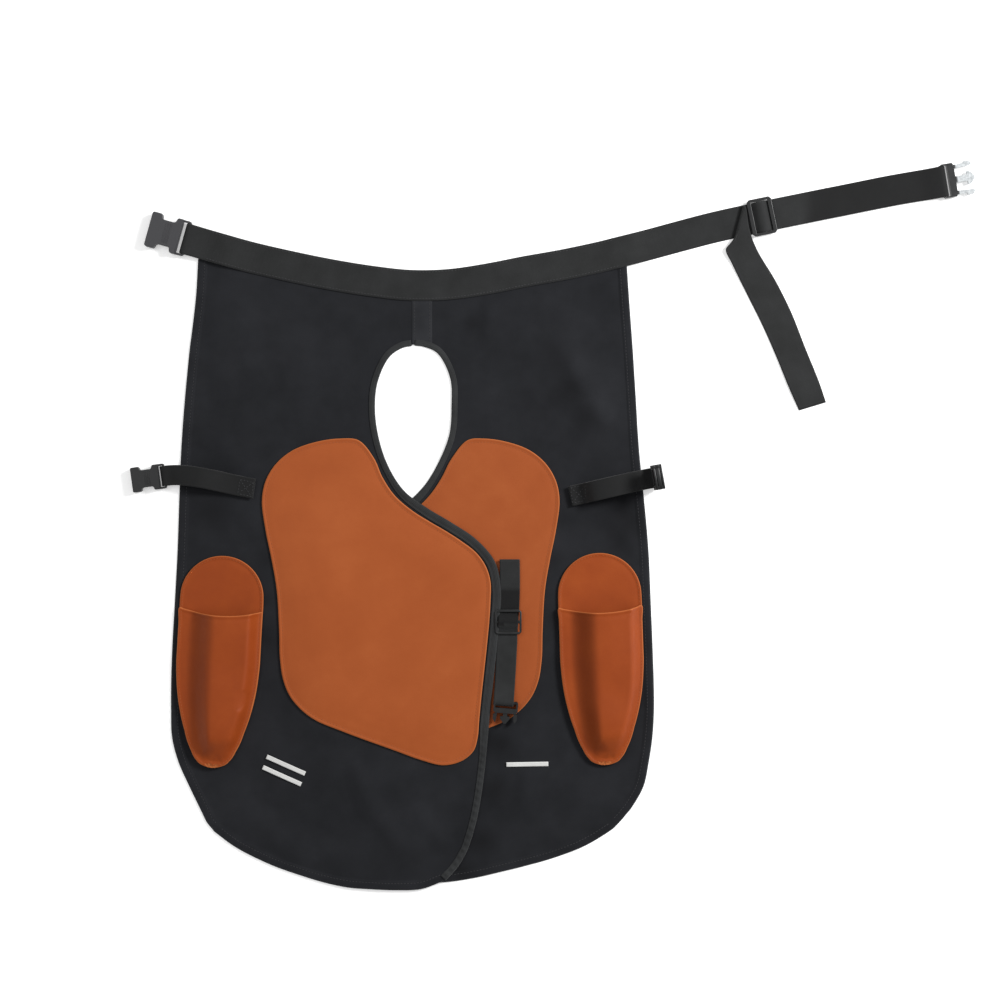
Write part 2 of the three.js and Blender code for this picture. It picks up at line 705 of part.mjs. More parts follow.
function plugBuckle(size) {
  const half = size.width / 2;
  const end = size.bodyLength - barRadius;
  const tip = end + size.prongLength;
  const body = plate(mirroredShape([
    [-barRadius, half - 2], [-barRadius + 2, half], [end - 2, half], [end, half - 3],
  ]), size.height);
  const stem = size.width * 0.09;
  const arrow = mirroredShape([
    [end - 2, stem], [tip - 9, stem], [tip - 9, stem * 2.2], [tip - 6, stem * 2.2], [tip, stem * 0.5],
  ]);
  const armInner = half * 0.66;
  const arm = [
    [end - 2, armInner], [tip - 4, armInner + 1], [tip - 1, half * 0.8], [tip - 5, half], [tip - 11, half],
    [tip - 12, half * 0.88], [end - 2, half * 0.88],
  ];
  const lowerArm = arm.map(([x, y]) => [x, -y]).reverse();
  const prongs = [arrow, planShape(arm), planShape(lowerArm)].map((shape) => plate(shape, size.prongHeight));
  const cutBody = body.subtract(barOpening(size)).add(webbingBar(size));
  return fromManifold(prongs.reduce((joined, prong) => joined.add(prong), cutBody));
}

function webbingSlider(size) {
  const half = size.width / 2;
  const end = size.length / 2;
  const frame = plate(mirroredShape([[-end, half - 3], [-end + 3, half], [end - 3, half], [end, half - 3]]), size.height);
  const slotWidth = size.webbing + 2 * webbingClearance;
  const slots = [-1, 1].map((sign) => {
    const near = sign * size.bar / 2;
    const far = sign * (end - size.bar);
    return block(Math.min(near, far), Math.max(near, far), slotWidth, size.height * 2);
  });
  return fromManifold(frame.subtract(slots[0]).subtract(slots[1]));
}

// Assembly

const apron = new THREE.Group();
apron.name = 'farrier_apron';

function addMesh(name, geometry, material, parent = apron) {
  const mesh = new THREE.Mesh(geometry, material);
  mesh.name = name;
  parent.add(mesh);
  return mesh;
}

// Sets a buckle or slider on a strap: its middle at the given place of the strap's plan curve.
function mountOnStrap(mesh, curve, distance, height, flipped = false, tilt = 0) {
  const { point, tangent } = planPoint(curve, distance);
  const holder = new THREE.Group();
  holder.position.set(point.x, point.y, height);
  holder.rotation.z = Math.atan2(tangent.y, tangent.x) + (flipped ? Math.PI : 0);
  mesh.rotation.y = -THREE.MathUtils.degToRad(tilt);
  holder.add(mesh);
  apron.add(holder);
}

for (const [side, sideName] of [[LEFT, 'left'], [RIGHT, 'right']]) {
  addMesh(`panel_${sideName}`, canvasSide(side), canvasMaterial);
  addMesh(`binding_${sideName}`, bindingStrip(side), bindingMaterial);
  addMesh(`knee_patch_${sideName}`, kneePatch(side), leatherMaterial);
  addMesh(`pocket_back_${sideName}`, pocketBack(side), leatherMaterial);
  addMesh(`pocket_pouch_${sideName}`, pocketPouch(side), leatherMaterial);
}

// Belt: folded back under its left end, over both sides, round the plug's bar, back through the slider, and
// down from a slanting fold as a free tail.
const onCanvas = canvasThickness + layerGap + webbingThickness / 2;
const onHem = hemThickness + layerGap + webbingThickness / 2;
const onFloor = webbingThickness / 2;
const layerStep = webbingThickness + layerGap;
const returnHeight = onFloor + layerStep;
const socketBarHeight = beltSocketSize.height / 2;
const plugBarHeight = beltPlugSize.height / 2 + 0.6;
const leftHemPlace = beltPlaceAt(-leftEdges.outer[0].across * apronHalfWidth).distance;
const rightHemPlace = beltPlaceAt(rightEdges.outer[0].across * apronHalfWidth).distance;
const sliderPlace = beltPlaceAt(beltSliderAlong * beltReachRight).distance;

function beltStations() {
  const at = (distance, height) => ({ curve: beltPlan, distance, height });
  const lowerRunStops = evenStops(9).slice(1, -1);
  return [
    at(beltFoldBack, onHem),
    at(leftHemPlace + 8, onHem),
    at(leftHemPlace - 4, onHem),
    ...wrapStations(beltPlan, 0, socketBarHeight, -1),
    at(8, socketBarHeight + wrapRadius - 0.6),
    at(leftHemPlace + 14, onHem + layerStep + 0.5),
    at(beltFoldBack + 3, onHem + layerStep),
    at(beltFoldBack + 20, onHem),
    at(beltFoldBack + 40, onCanvas),
    ...lowerRunStops.map((stop) => at(mix(beltFoldBack + 40, rightHemPlace - 34, stop), onCanvas)),
    at(rightHemPlace - 34, onCanvas),
    at(rightHemPlace - 18, onHem),
    at(rightHemPlace + 3, onHem),
    at(rightHemPlace + 24, onFloor),
    ...lowerRunStops.map((stop) => at(mix(rightHemPlace + 24, beltLength - 14, stop), onFloor)),
    at(beltLength - 14, onFloor),
    ...wrapStations(beltPlan, beltLength, plugBarHeight, 1),
    at(beltLength - 8, plugBarHeight + wrapRadius - 1.2),
    at(beltLength - 26, returnHeight + 0.6),
    ...evenStops(6).map((stop) => at(mix(beltLength - 44, sliderPlace + 24, stop), returnHeight)),
    ...sliderStations(beltPlan, sliderPlace, beltSliderSize, returnHeight, -1),
  ];
}

// The slanting fold: the exit run's own edges end on the fold line, and the tail starts from it, one layer up.
function tailSheetRows(lastExitRow) {
  const foldTop = lastExitRow[0].clone();
  const heading = beltPlan.getTangentAt(0.6).negate();
  foldTop.addScaledVector(heading, 3);
  const foldFoot = lastExitRow[1].clone().addScaledVector(heading, 23);
  const outward = new THREE.Vector3(foldFoot.y - foldTop.y, foldTop.x - foldFoot.x, 0).normalize();
  const line = (shift, height) => [foldTop, foldFoot].map((corner) => {
    const point = corner.clone().addScaledVector(outward, shift);
    point.z = height;
    return point;
  });
  const stack = returnHeight + layerStep + 0.4;
  const fold = [
    line(-2.5, returnHeight),
    line(-0.4, returnHeight + 0.35),
    line(0.4, (returnHeight + stack) / 2),
    line(-0.4, stack - 0.35),
    line(-2.5, stack),
  ];
  const tail = tailRows.map((row) => [
    new THREE.Vector3(
      foldTop.x + row.rightX * tailDrop, foldTop.y - row.rightDown * tailDrop, mix(onFloor, stack, row.rightRise),
    ),
    new THREE.Vector3(
      foldTop.x + row.leftX * tailDrop, foldTop.y - row.leftDown * tailDrop, mix(onFloor, stack, row.leftRise),
    ),
  ]);
  return [...fold, ...tail];
}

const beltRows = strapRows(beltStations(), beltWidth);
addMesh('waist_belt', strapSheet([...beltRows, ...tailSheetRows(beltRows[beltRows.length - 1])]), webbingMaterial);

const beltSocket = addMesh('belt_socket_buckle', socketBuckle(beltSocketSize), greyPlasticMaterial);
mountOnStrap(beltSocket, beltPlan, 0, socketBarHeight, true);
const beltPlug = addMesh('belt_plug_buckle', plugBuckle(beltPlugSize), plasticMaterial);
mountOnStrap(beltPlug, beltPlan, beltLength, plugBarHeight);
const beltSlider = addMesh('belt_slider', webbingSlider(beltSliderSize), plasticMaterial);
const beltSliderHeight = returnHeight + webbingThickness / 2 + webbingClearance + beltSliderSize.height / 2;
mountOnStrap(beltSlider, beltPlan, sliderPlace, beltSliderHeight);

// Outer leg straps: sewn to a side, over its edge to a buckle bar, and back below themselves.
function outerLegStrap(side, place, reach, arch, profile, barHeight) {
  const start = toPlan(side, place.sewn);
  const towards = (degrees, length) => new THREE.Vector3(length, 0, 0)
    .applyAxisAngle(new THREE.Vector3(0, 0, 1), THREE.MathUtils.degToRad(degrees));
  const end = start.clone().add(towards(place.heading, reach));
  const curve = new THREE.CubicBezierCurve3(
    start,
    start.clone().add(towards(place.heading, reach / 3)),
    end.clone().sub(towards(place.buckleHeading, reach / 3)),
    end,
  );
  const edgeDistance = reach * 0.84;
  const at = (distance, height) => ({ curve, distance, height });
  const upperBase = (distance) => (distance < edgeDistance ? onHem + layerStep : onHem);
  const lower = [
    at(legStrapUnderStart, onCanvas),
    at(reach * 0.3, onCanvas),
    at(reach * 0.47, onHem),
    at(edgeDistance, onHem),
  ];
  const beforeBar = at(reach - 5, barHeight - wrapRadius);
  const upper = profile.map((row) => at(row.along * reach, mix(upperBase(row.along * reach), arch, row.rise)));
  const stations = [...lower, beforeBar, ...wrapStations(curve, curve.getLength(), barHeight, 1), ...upper.reverse()];
  return { curve, length: curve.getLength(), geometry: strapSheet(strapRows(stations, legWebbingWidth)) };
}

const leftBarHeight = legSocketSize.height / 2;
const leftLeg = outerLegStrap(
  LEFT, legStrapPlaces.outerLeft, legStrapReachLeft, legStrapArchLeft, archLeft, leftBarHeight,
);
addMesh('leg_strap_outer_left', leftLeg.geometry, webbingMaterial);
const leftSocket = addMesh('leg_buckle_outer_left', socketBuckle(legSocketSize), plasticMaterial);
mountOnStrap(leftSocket, leftLeg.curve, leftLeg.length, leftBarHeight);

const rightBarHeight = onHem + wrapRadius;
const rightBuckleTilt = 88;
const rightLeg = outerLegStrap(
  RIGHT, legStrapPlaces.outerRight, legStrapReachRight, legStrapArchRight, archRight, rightBarHeight,
);
addMesh('leg_strap_outer_right', rightLeg.geometry, webbingMaterial);
const rightSocket = addMesh('leg_buckle_outer_right', socketBuckle(legSocketSize), plasticMaterial);
mountOnStrap(rightSocket, rightLeg.curve, rightLeg.length, rightBarHeight, false, rightBuckleTilt);

// Inner leg strap: from under the upper side's edge to a plug, back through a slider, and a short tail.
function innerLegStrap() {
  const bar = toPlan(RIGHT, innerStrapBar);
  const along = (across, down) => new THREE.Vector3(bar.x + across * innerStrapReach, bar.y + down * innerStrapReach, 0);
  const lowerPlan = smoothCurve([along(-0.11, 0.86), along(-0.03, 0.7), along(0.03, 0.5), along(0.02, 0.25), bar]);
  const upperPlan = smoothCurve([along(0.05, 1.0), along(0.05, 0.72), along(0.035, 0.5), along(0.02, 0.25), bar]);
  const barHeight = patchStack + legPlugSize.height / 2 + 0.6;
  const lowHeight = patchStack + webbingThickness / 2;
  const highHeight = lowHeight + layerStep;
  const lowerLength = lowerPlan.getLength();
  const upperLength = upperPlan.getLength();
  const sliderDistance = upperLength - innerSliderFromPlug;
  const lower = evenStops(6).map((stop) => ({
    curve: lowerPlan,
    distance: stop * (lowerLength - 12),
    height: lowHeight,
  }));
  const upper = [
    { curve: upperPlan, distance: upperLength - 7, height: barHeight + wrapRadius - 1 },
    { curve: upperPlan, distance: upperLength - 22, height: highHeight + 0.4 },
    { curve: upperPlan, distance: upperLength - innerSliderFromPlug / 2, height: highHeight },
    ...sliderStations(upperPlan, sliderDistance, legSliderSize, highHeight, -1),
    { curve: upperPlan, distance: innerTailRise, height: highHeight },
    { curve: upperPlan, distance: 0, height: highHeight + 0.6 },
  ];
  const stations = [...lower, ...wrapStations(lowerPlan, lowerLength, barHeight, 1), ...upper];
  return { lowerPlan, lowerLength, upperPlan, sliderDistance, barHeight, highHeight, stations };
}

const innerLeg = innerLegStrap();
addMesh('leg_strap_inner', strapSheet(strapRows(innerLeg.stations, legWebbingWidth)), webbingMaterial);
const innerPlug = addMesh('leg_plug_inner', plugBuckle(legPlugSize), plasticMaterial);
mountOnStrap(innerPlug, innerLeg.lowerPlan, innerLeg.lowerLength, innerLeg.barHeight);
const innerSlider = addMesh('leg_slider_inner', webbingSlider(legSliderSize), plasticMaterial);
const innerSliderHeight = innerLeg.highHeight + webbingThickness / 2 + webbingClearance + legSliderSize.height / 2;
mountOnStrap(innerSlider, innerLeg.upperPlan, innerLeg.sliderDistance, innerSliderHeight);

// White tapes sewn to the canvas below the knee patches.
for (const tape of tapePlaces) {
  const middle = toPlan(tape.side, tape);
  const angle = THREE.MathUtils.degToRad(tape.turn);
  const rows = [1, -1].map((end) => evenStops(4).map((stop) => {
    const offset = new THREE.Vector3((stop - 0.5) * tapeLength, end * tapeWidth / 2, 0);
    const point = offset.applyAxisAngle(new THREE.Vector3(0, 0, 1), angle).add(middle);
    point.z = canvasTop(tape.side, point.x, point.y) + 1.6 * layerGap + tapeThickness / 2;
    return point;
  }));
  rows.reverse();
  addMesh(tape.name, gridSheet(rows, () => tapeThickness, true), tapeMaterial);
}

// Centre the whole apron on the origin, resting on the floor.
const laidOut = new THREE.Group();
laidOut.name = 'farrier_apron_laid_out';
laidOut.add(apron);
laidOut.updateMatrixWorld(true);
const extent = new THREE.Box3().setFromObject(apron, true);
const middle = extent.getCenter(new THREE.Vector3());
apron.position.set(-middle.x, -middle.y, -extent.min.z);

export default laidOut;
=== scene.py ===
# %% [markdown]
# A farrier's apron, laid flat on the floor. The heavy canvas, the leather knee patches and pockets, the
# webbing belt and the plastic buckles are each built as their own piece over a measured frame. They could
# be placed by hand against the photograph, but then every size would be a guess. So the frame is loaded
# first, and every piece below takes its place and size from it. All lengths are in metres.

# %% Load the measured frame
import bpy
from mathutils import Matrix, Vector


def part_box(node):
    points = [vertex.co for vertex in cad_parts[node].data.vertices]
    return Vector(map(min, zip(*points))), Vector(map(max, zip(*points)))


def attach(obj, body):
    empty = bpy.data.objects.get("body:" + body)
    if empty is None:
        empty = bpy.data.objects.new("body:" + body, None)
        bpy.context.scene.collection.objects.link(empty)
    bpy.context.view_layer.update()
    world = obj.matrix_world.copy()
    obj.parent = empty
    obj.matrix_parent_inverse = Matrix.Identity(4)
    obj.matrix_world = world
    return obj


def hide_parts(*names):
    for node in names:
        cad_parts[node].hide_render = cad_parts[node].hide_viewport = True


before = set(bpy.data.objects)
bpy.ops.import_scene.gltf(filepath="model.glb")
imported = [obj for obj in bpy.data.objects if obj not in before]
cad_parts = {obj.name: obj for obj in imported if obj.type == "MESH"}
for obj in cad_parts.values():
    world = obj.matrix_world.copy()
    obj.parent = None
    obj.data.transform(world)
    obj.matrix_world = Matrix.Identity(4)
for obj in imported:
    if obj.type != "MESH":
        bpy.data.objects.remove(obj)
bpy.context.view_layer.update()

import math

import bmesh
import bpy
import numpy as np
from mathutils import Vector, geometry, noise
from mathutils.bvhtree import BVHTree

MM = 0.001

# %% [markdown]
# The frame's solids are made of flat facets with their corners doubled. To read an outline from one, its
# corners are welded and the edge between its upper faces and the rest is walked round. A smooth curve
# through the outline's points then gives the sewn shape without the facets. Subdividing the solids would
# be shorter, but it would pull every corner in and lose the measured size. The walk always goes through
# faces and corners in the mesh's own order, so that each run gives the same points.

# %% Read outlines from the frame
STEPS_PER_SPAN = 10
SAME_CORNER = 0.002 * MM


def welded(node):
    """A frame solid with its doubled corners joined. The caller frees it."""
    solid = bmesh.new()
    solid.from_mesh(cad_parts[node].data)
    bmesh.ops.remove_doubles(solid, verts=solid.verts, dist=SAME_CORNER)
    solid.verts.index_update()
    solid.normal_update()
    return solid


def outline_of(node, steepest=0.05):
    """The longest edge line round a solid's upper faces, counterclockwise."""
    solid = welded(node)
    upper_faces = [face for face in solid.faces if face.normal.z > steepest]
    upper = set(upper_faces)
    ahead = {}
    for face in upper_faces:
        for corner in face.loops:
            if sum(other in upper for other in corner.edge.link_faces) == 1:
                ahead.setdefault(corner.vert, []).append(corner.link_loop_next.vert)
    longest = []
    while ahead:
        first = next(iter(ahead))
        line, here = [], first
        while here in ahead:
            line.append(here.co[:])
            after = ahead[here].pop()
            if not ahead[here]:
                del ahead[here]
            here = after
        longest = max(longest, line, key=len)
    solid.free()
    return np.array(longest)


def smooth_line(points, count, closed=False):
    """Points at even steps along a centripetal Catmull-Rom curve through the given ones."""
    p = np.asarray(points, float)
    if closed:
        p = np.vstack([p[-1], p, p[0], p[1]])
    else:
        p = np.vstack([2 * p[0] - p[1], p, 2 * p[-1] - p[-2]])
    fine = []
    for a, b, c, d in zip(p[:-3], p[1:-2], p[2:-1], p[3:]):
        k1 = max(np.linalg.norm(b - a), 1e-9) ** 0.5
        k2 = k1 + max(np.linalg.norm(c - b), 1e-9) ** 0.5
        k3 = k2 + max(np.linalg.norm(d - c), 1e-9) ** 0.5
        t = np.linspace(k1, k2, STEPS_PER_SPAN + 1)[:-1, None]
        ab = (k1 - t) / k1 * a + t / k1 * b
        bc = (k2 - t) / (k2 - k1) * b + (t - k1) / (k2 - k1) * c
        cd = (k3 - t) / (k3 - k2) * c + (t - k2) / (k3 - k2) * d
        abc = (k2 - t) / k2 * ab + t / k2 * bc
        bcd = (k3 - t) / (k3 - k1) * bc + (t - k1) / (k3 - k1) * cd
        fine.append((k2 - t) / (k2 - k1) * abc + (t - k1) / (k2 - k1) * bcd)
    fine = np.vstack(fine + [p[-2][None]])
    return along_line(fine, np.linspace(0, 1, count + 1)[:-1] if closed else np.linspace(0, 1, count))


def along_line(line, stops):
    """Points of a polyline at the given shares of its length."""
    steps = np.linalg.norm(np.diff(line, axis=0), axis=1)
    length = np.concatenate([[0], np.cumsum(steps)])
    places = np.asarray(stops) * length[-1]
    return np.stack([np.interp(places, length, line[:, k]) for k in range(line.shape[1])], 1)


def length_of(line):
    """Length of a polyline."""
    return np.linalg.norm(np.diff(line, axis=0), axis=1).sum()


def places_along(line):
    """How far along a polyline each of its points is."""
    return np.concatenate([[0], np.cumsum(np.linalg.norm(np.diff(line, axis=0), axis=1))])


def smoothstep(low, high, value):
    """A soft step from 0 at low to 1 at high."""
    t = np.clip((np.asarray(value) - low) / (high - low), 0, 1)
    return t * t * (3 - 2 * t)


# %% [markdown]
# Cloth and leather lie on each other, so their heights come from the frame too. A height map drops rays
# onto a node over a grid, spreads the heights a little past its edge, and blurs away the facets. A cloth
# simulation could settle the layers by itself, but they would drift from the measured places, so here
# each layer is told its height.

# %% Read heights from the frame
def ray_tree(node):
    """A node's faces, ready for rays."""
    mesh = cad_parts[node].data
    return BVHTree.FromPolygons([v.co for v in mesh.vertices], [p.vertices[:] for p in mesh.polygons])


def four_neighbours(grid):
    """The sum of the four places next to each place of a grid."""
    padded = np.pad(grid, 1, mode="edge")
    return padded[:-2, 1:-1] + padded[2:, 1:-1] + padded[1:-1, :-2] + padded[1:-1, 2:]


def read_grid(grid, xs, ys, step, x, y):
    """Values between the places of a grid."""
    column = np.clip((np.asarray(x) - xs[0]) / step, 0, len(xs) - 1.001)
    row = np.clip((np.asarray(y) - ys[0]) / step, 0, len(ys) - 1.001)
    i, j = row.astype(int), column.astype(int)
    u, v = column - j, row - i
    top = grid[i, j] * (1 - u) + grid[i, j + 1] * u
    foot = grid[i + 1, j] * (1 - u) + grid[i + 1, j + 1] * u
    return top * (1 - v) + foot * v


def height_map(node, from_below=False, step=4 * MM, blur=3):
    """A function that gives a node's upper or lower height at places on the floor."""
    tree = ray_tree(node)
    low, high = (np.array(corner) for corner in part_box(node))
    xs = np.arange(low[0] - 3 * step, high[0] + 4 * step, step)
    ys = np.arange(low[1] - 3 * step, high[1] + 4 * step, step)
    heights = np.full((len(ys), len(xs)), np.nan)
    start, way = (-1.0, 1.0) if from_below else (1.0, -1.0)
    for row, y in enumerate(ys):
        for column, x in enumerate(xs):
            hit = tree.ray_cast(Vector((x, y, start)), Vector((0, 0, way)))[0]
            if hit is not None:
                heights[row, column] = hit.z
    known = ~np.isnan(heights)
    while not known.all():
        filled = np.where(known, heights, 0)
        total = np.zeros_like(filled)
        weight = np.zeros_like(filled)
        for axis, shift in ((0, 1), (0, -1), (1, 1), (1, -1)):
            total += np.roll(filled, shift, axis)
            weight += np.roll(known, shift, axis)
        new = ~known & (weight > 0)
        heights[new] = total[new] / weight[new]
        known |= new
    for _ in range(blur):
        heights = (four_neighbours(heights) + 4 * heights) / 8
    return lambda x, y: read_grid(heights, xs, ys, step, x, y)


canvas_top = height_map("panel_left")
print("canvas height left of the keyhole:", round(float(canvas_top(-0.25, 0.2)) * 1000, 2), "mm")

# %% [markdown]
# Every soft piece is a real sheet with two faces and an edge. A plane with a Solidify modifier would also
# give thickness, but the same thickness all over, and here a folded hem and a rolled rim are thicker than
# the rest. So one helper closes a grid of upper and lower points into a sheet, and another turns finished
# arrays into a named object with its own material slot.

# %% Turn points into pieces
def piece_from(name, vertices, faces, material, slot):
    """A named piece that rides on the apron and has one material."""
    mesh = bpy.data.meshes.new(name)
    mesh.from_pydata([tuple(v) for v in vertices], [], [tuple(int(i) for i in f) for f in faces])
    mesh.validate()
    piece = bpy.data.objects.new(name, mesh)
    bpy.context.scene.collection.objects.link(piece)
    mesh.polygons.foreach_set("use_smooth", [True] * len(mesh.polygons))
    mesh.materials.append(material)
    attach(piece, "root")
    return piece


def grid_faces(rows, columns):
    """Quads over a grid of numbered points."""
    i = np.arange(rows - 1)[:, None] * columns
    j = np.arange(columns - 1)[None, :]
    quads = np.stack([i + j, i + j + 1, i + columns + j + 1, i + columns + j], -1)
    return quads.reshape(-1, 4)


def closed_sheet(upper, lower):
    """Vertices and faces of a sheet from the grids of its upper and lower points."""
    rows, columns = upper.shape[:2]
    count = rows * columns
    top = grid_faces(rows, columns)
    rim = np.concatenate([
        np.arange(columns - 1),
        np.arange(rows - 1) * columns + columns - 1,
        rows * columns - 1 - np.arange(columns - 1),
        (rows - 1 - np.arange(rows - 1)) * columns,
    ])
    ahead = np.roll(rim, -1)
    walls = np.stack([rim, rim + count, ahead + count, ahead], 1)
    vertices = np.concatenate([upper.reshape(-1, 3), lower.reshape(-1, 3)])
    return vertices, np.concatenate([top, top[:, ::-1] + count, walls])


def point_attribute(piece, name, values):
    """A number at each point, which a finish can read by its name."""
    layer = piece.data.attributes.new(name, "FLOAT", "POINT")
    layer.data.foreach_set("value", np.asarray(values, np.float32).ravel())


# %% [markdown]
# Materials are built from small node graphs. Image textures would be quicker to make, but they blur close
# up and need files; nodes stay sharp at any distance. The photograph's colours are written as ordinary
# screen colours, so a helper changes them to the linear values that shaders use. A second helper, a small
# class, lays out the nodes.

# %% Material helpers
def linear(red, green, blue):
    """A screen colour from 0 to 255, as the linear colour that a shader needs."""
    values = [((c / 255 + 0.055) / 1.055) ** 2.4 if c > 10 else c / 255 / 12.92 for c in (red, green, blue)]
    return (*values, 1.0)


SHEEN_ROUGHNESS = 0.45
# The Wave texture repeats every pi / 10 of a unit at scale 1, so this over a period gives that period.
WAVE_PER_METRE = math.pi / 10


class Finish:
    """A material with a principled shader and a few short ways to add nodes to it."""

    def __init__(self, name, roughness, sheen=0.0, specular=0.5):
        self.material = bpy.data.materials.new(name)
        self.material.use_nodes = True
        self.tree = self.material.node_tree
        self.shader = self.tree.nodes["Principled BSDF"]
        self.shader.inputs["Roughness"].default_value = roughness
        self.shader.inputs["Specular IOR Level"].default_value = specular
        self.shader.inputs["Sheen Weight"].default_value = sheen
        self.shader.inputs["Sheen Roughness"].default_value = SHEEN_ROUGHNESS
        self.place = self.node("ShaderNodeTexCoord").outputs["Object"]

    def node(self, kind, inputs=None, **settings):
        """A node of the graph, with each input linked to a socket or set to a value."""
        made = self.tree.nodes.new(kind)
        for key, value in settings.items():
            setattr(made, key, value)
        for key, value in (inputs or {}).items():
            if isinstance(value, bpy.types.NodeSocket):
                self.tree.links.new(value, made.inputs[key])
            else:
                made.inputs[key].default_value = value
        return made

    def link(self, output, socket):
        self.tree.links.new(output, self.shader.inputs[socket])

    def math(self, operation, a, b=0.0, c=0.0, clamp=False):
        return self.node("ShaderNodeMath", {0: a, 1: b, 2: c}, operation=operation, use_clamp=clamp).outputs[0]

    def mix(self, share, a, b):
        made = self.node("ShaderNodeMix", data_type="RGBA")
        for index, value in ((0, share), (6, a), (7, b)):
            if isinstance(value, bpy.types.NodeSocket):
                self.tree.links.new(value, made.inputs[index])
            else:
                made.inputs[index].default_value = value
        return made.outputs[2]

    def attribute(self, name):
        """A number that the mesh carries at its points; 0 where it carries none."""
        return self.node("ShaderNodeAttribute", attribute_name=name).outputs["Fac"]

    def noise(self, scale, detail=3.0, roughness=0.55, stretch=None):
        """Soft noise in the object's own coordinates, drawn out where a stretch is given."""
        source = self.place
        if stretch:
            source = self.node("ShaderNodeMapping", {"Vector": source, "Scale": stretch}).outputs[0]
        made = self.node("ShaderNodeTexNoise", {
            "Vector": source, "Scale": scale, "Detail": detail, "Roughness": roughness,
        })
        return made.outputs["Fac"]

    def ramp(self, value, *stops):
        """A ramp through (place, colour or grey) stops."""
        made = self.node("ShaderNodeValToRGB", {"Fac": value})
        elements = made.color_ramp.elements
        while len(elements) < len(stops):
            elements.new(0.5)
        for element, (place, colour) in zip(elements, stops):
            element.position = place
            element.color = colour if isinstance(colour, tuple) else (colour, colour, colour, 1)
        return made.outputs["Color"]

    def threads(self, period, axis, place=None, rotate=0.0):
        """Waves across one axis, one wave for each thread."""
        turned = {"Vector": place or self.place, "Rotation": (0, 0, rotate)}
        source = self.node("ShaderNodeMapping", turned).outputs[0]
        made = self.node("ShaderNodeTexWave", {
            "Vector": source, "Scale": WAVE_PER_METRE / period, "Distortion": 0.6,
            "Detail": 1.0, "Detail Scale": 1.5,
        }, bands_direction=axis)
        return made.outputs["Fac"]

    def bump(self, height, strength, distance, before=None):
        """Fine relief on the surface, added to the relief before it."""
        inputs = {"Height": height, "Strength": strength, "Distance": distance}
        if before is not None:
            inputs["Normal"] = before
        return self.node("ShaderNodeBump", inputs).outputs["Normal"]


# %% [markdown]
# The canvas is a heavy plain weave, dyed charcoal with a faint blue cast. Its threads could be modelled one
# by one, but that would need millions of faces. So two crossed sets of waves give the weave, slower noise
# gives the dye's mottling and the dusty lighter patches of a used cloth, and the folded edges are worn a
# little lighter. The same lighter tone is a painted highlight on the centre seam's raised strip, and a
# painted shade darkens the cloth in the hollows beside the straps and folds.

# %% Canvas finish
def canvas_finish(name, dark, light, thread=0.9 * MM):
    cloth = Finish(name, roughness=0.92, sheen=0.06, specular=0.18)
    warp = cloth.threads(thread, "X")
    weft = cloth.threads(thread, "Y")
    weave = cloth.math("MULTIPLY", warp, weft)
    mottle = cloth.ramp(cloth.noise(22, 4), (0.3, 0.0), (0.72, 1.0))
    dust = cloth.ramp(cloth.noise(7, 5, 0.62), (0.42, 0.0), (0.75, 1.0))
    specks = cloth.ramp(cloth.noise(900, 2), (0.66, 0.0), (0.78, 1.0))
    marks = cloth.math("MULTIPLY_ADD", mottle, 0.28, cloth.math("MULTIPLY", dust, 0.25))
    share = cloth.math("MULTIPLY_ADD", weave, 0.30, marks)
    share = cloth.math("ADD", share, cloth.math("MULTIPLY", specks, 0.18), clamp=True)
    base = cloth.mix(share, dark, light)
    paler = cloth.mix(0.5, light, linear(84, 85, 88))
    rubbing = cloth.math("MULTIPLY_ADD", mottle, 0.5, 0.35)
    # Paler where the attribute says: worn hem edges, and a painted highlight on the centre seam's strip.
    worn = cloth.mix(cloth.math("MULTIPLY", cloth.attribute("wear_and_highlight"), rubbing), base, paler)
    # Painted shade: darker cloth in the hollows beside the straps and folds, where shadow falls.
    shade = cloth.math("MULTIPLY", cloth.attribute("painted_hollow_shade"), 0.75)
    cloth.link(cloth.mix(shade, worn, linear(12, 12, 14)), "Base Color")
    slubs = cloth.noise(160, 3, stretch=(1.0, 6.0, 1.0))
    first = cloth.bump(slubs, 0.25, 0.3 * MM)
    cloth.link(cloth.bump(weave, 0.55, 0.25 * MM, first), "Normal")
    return cloth.material


canvas = canvas_finish("charcoal_canvas", linear(23, 24, 27), linear(46, 47, 51))
print("canvas nodes:", len(canvas.node_tree.nodes))
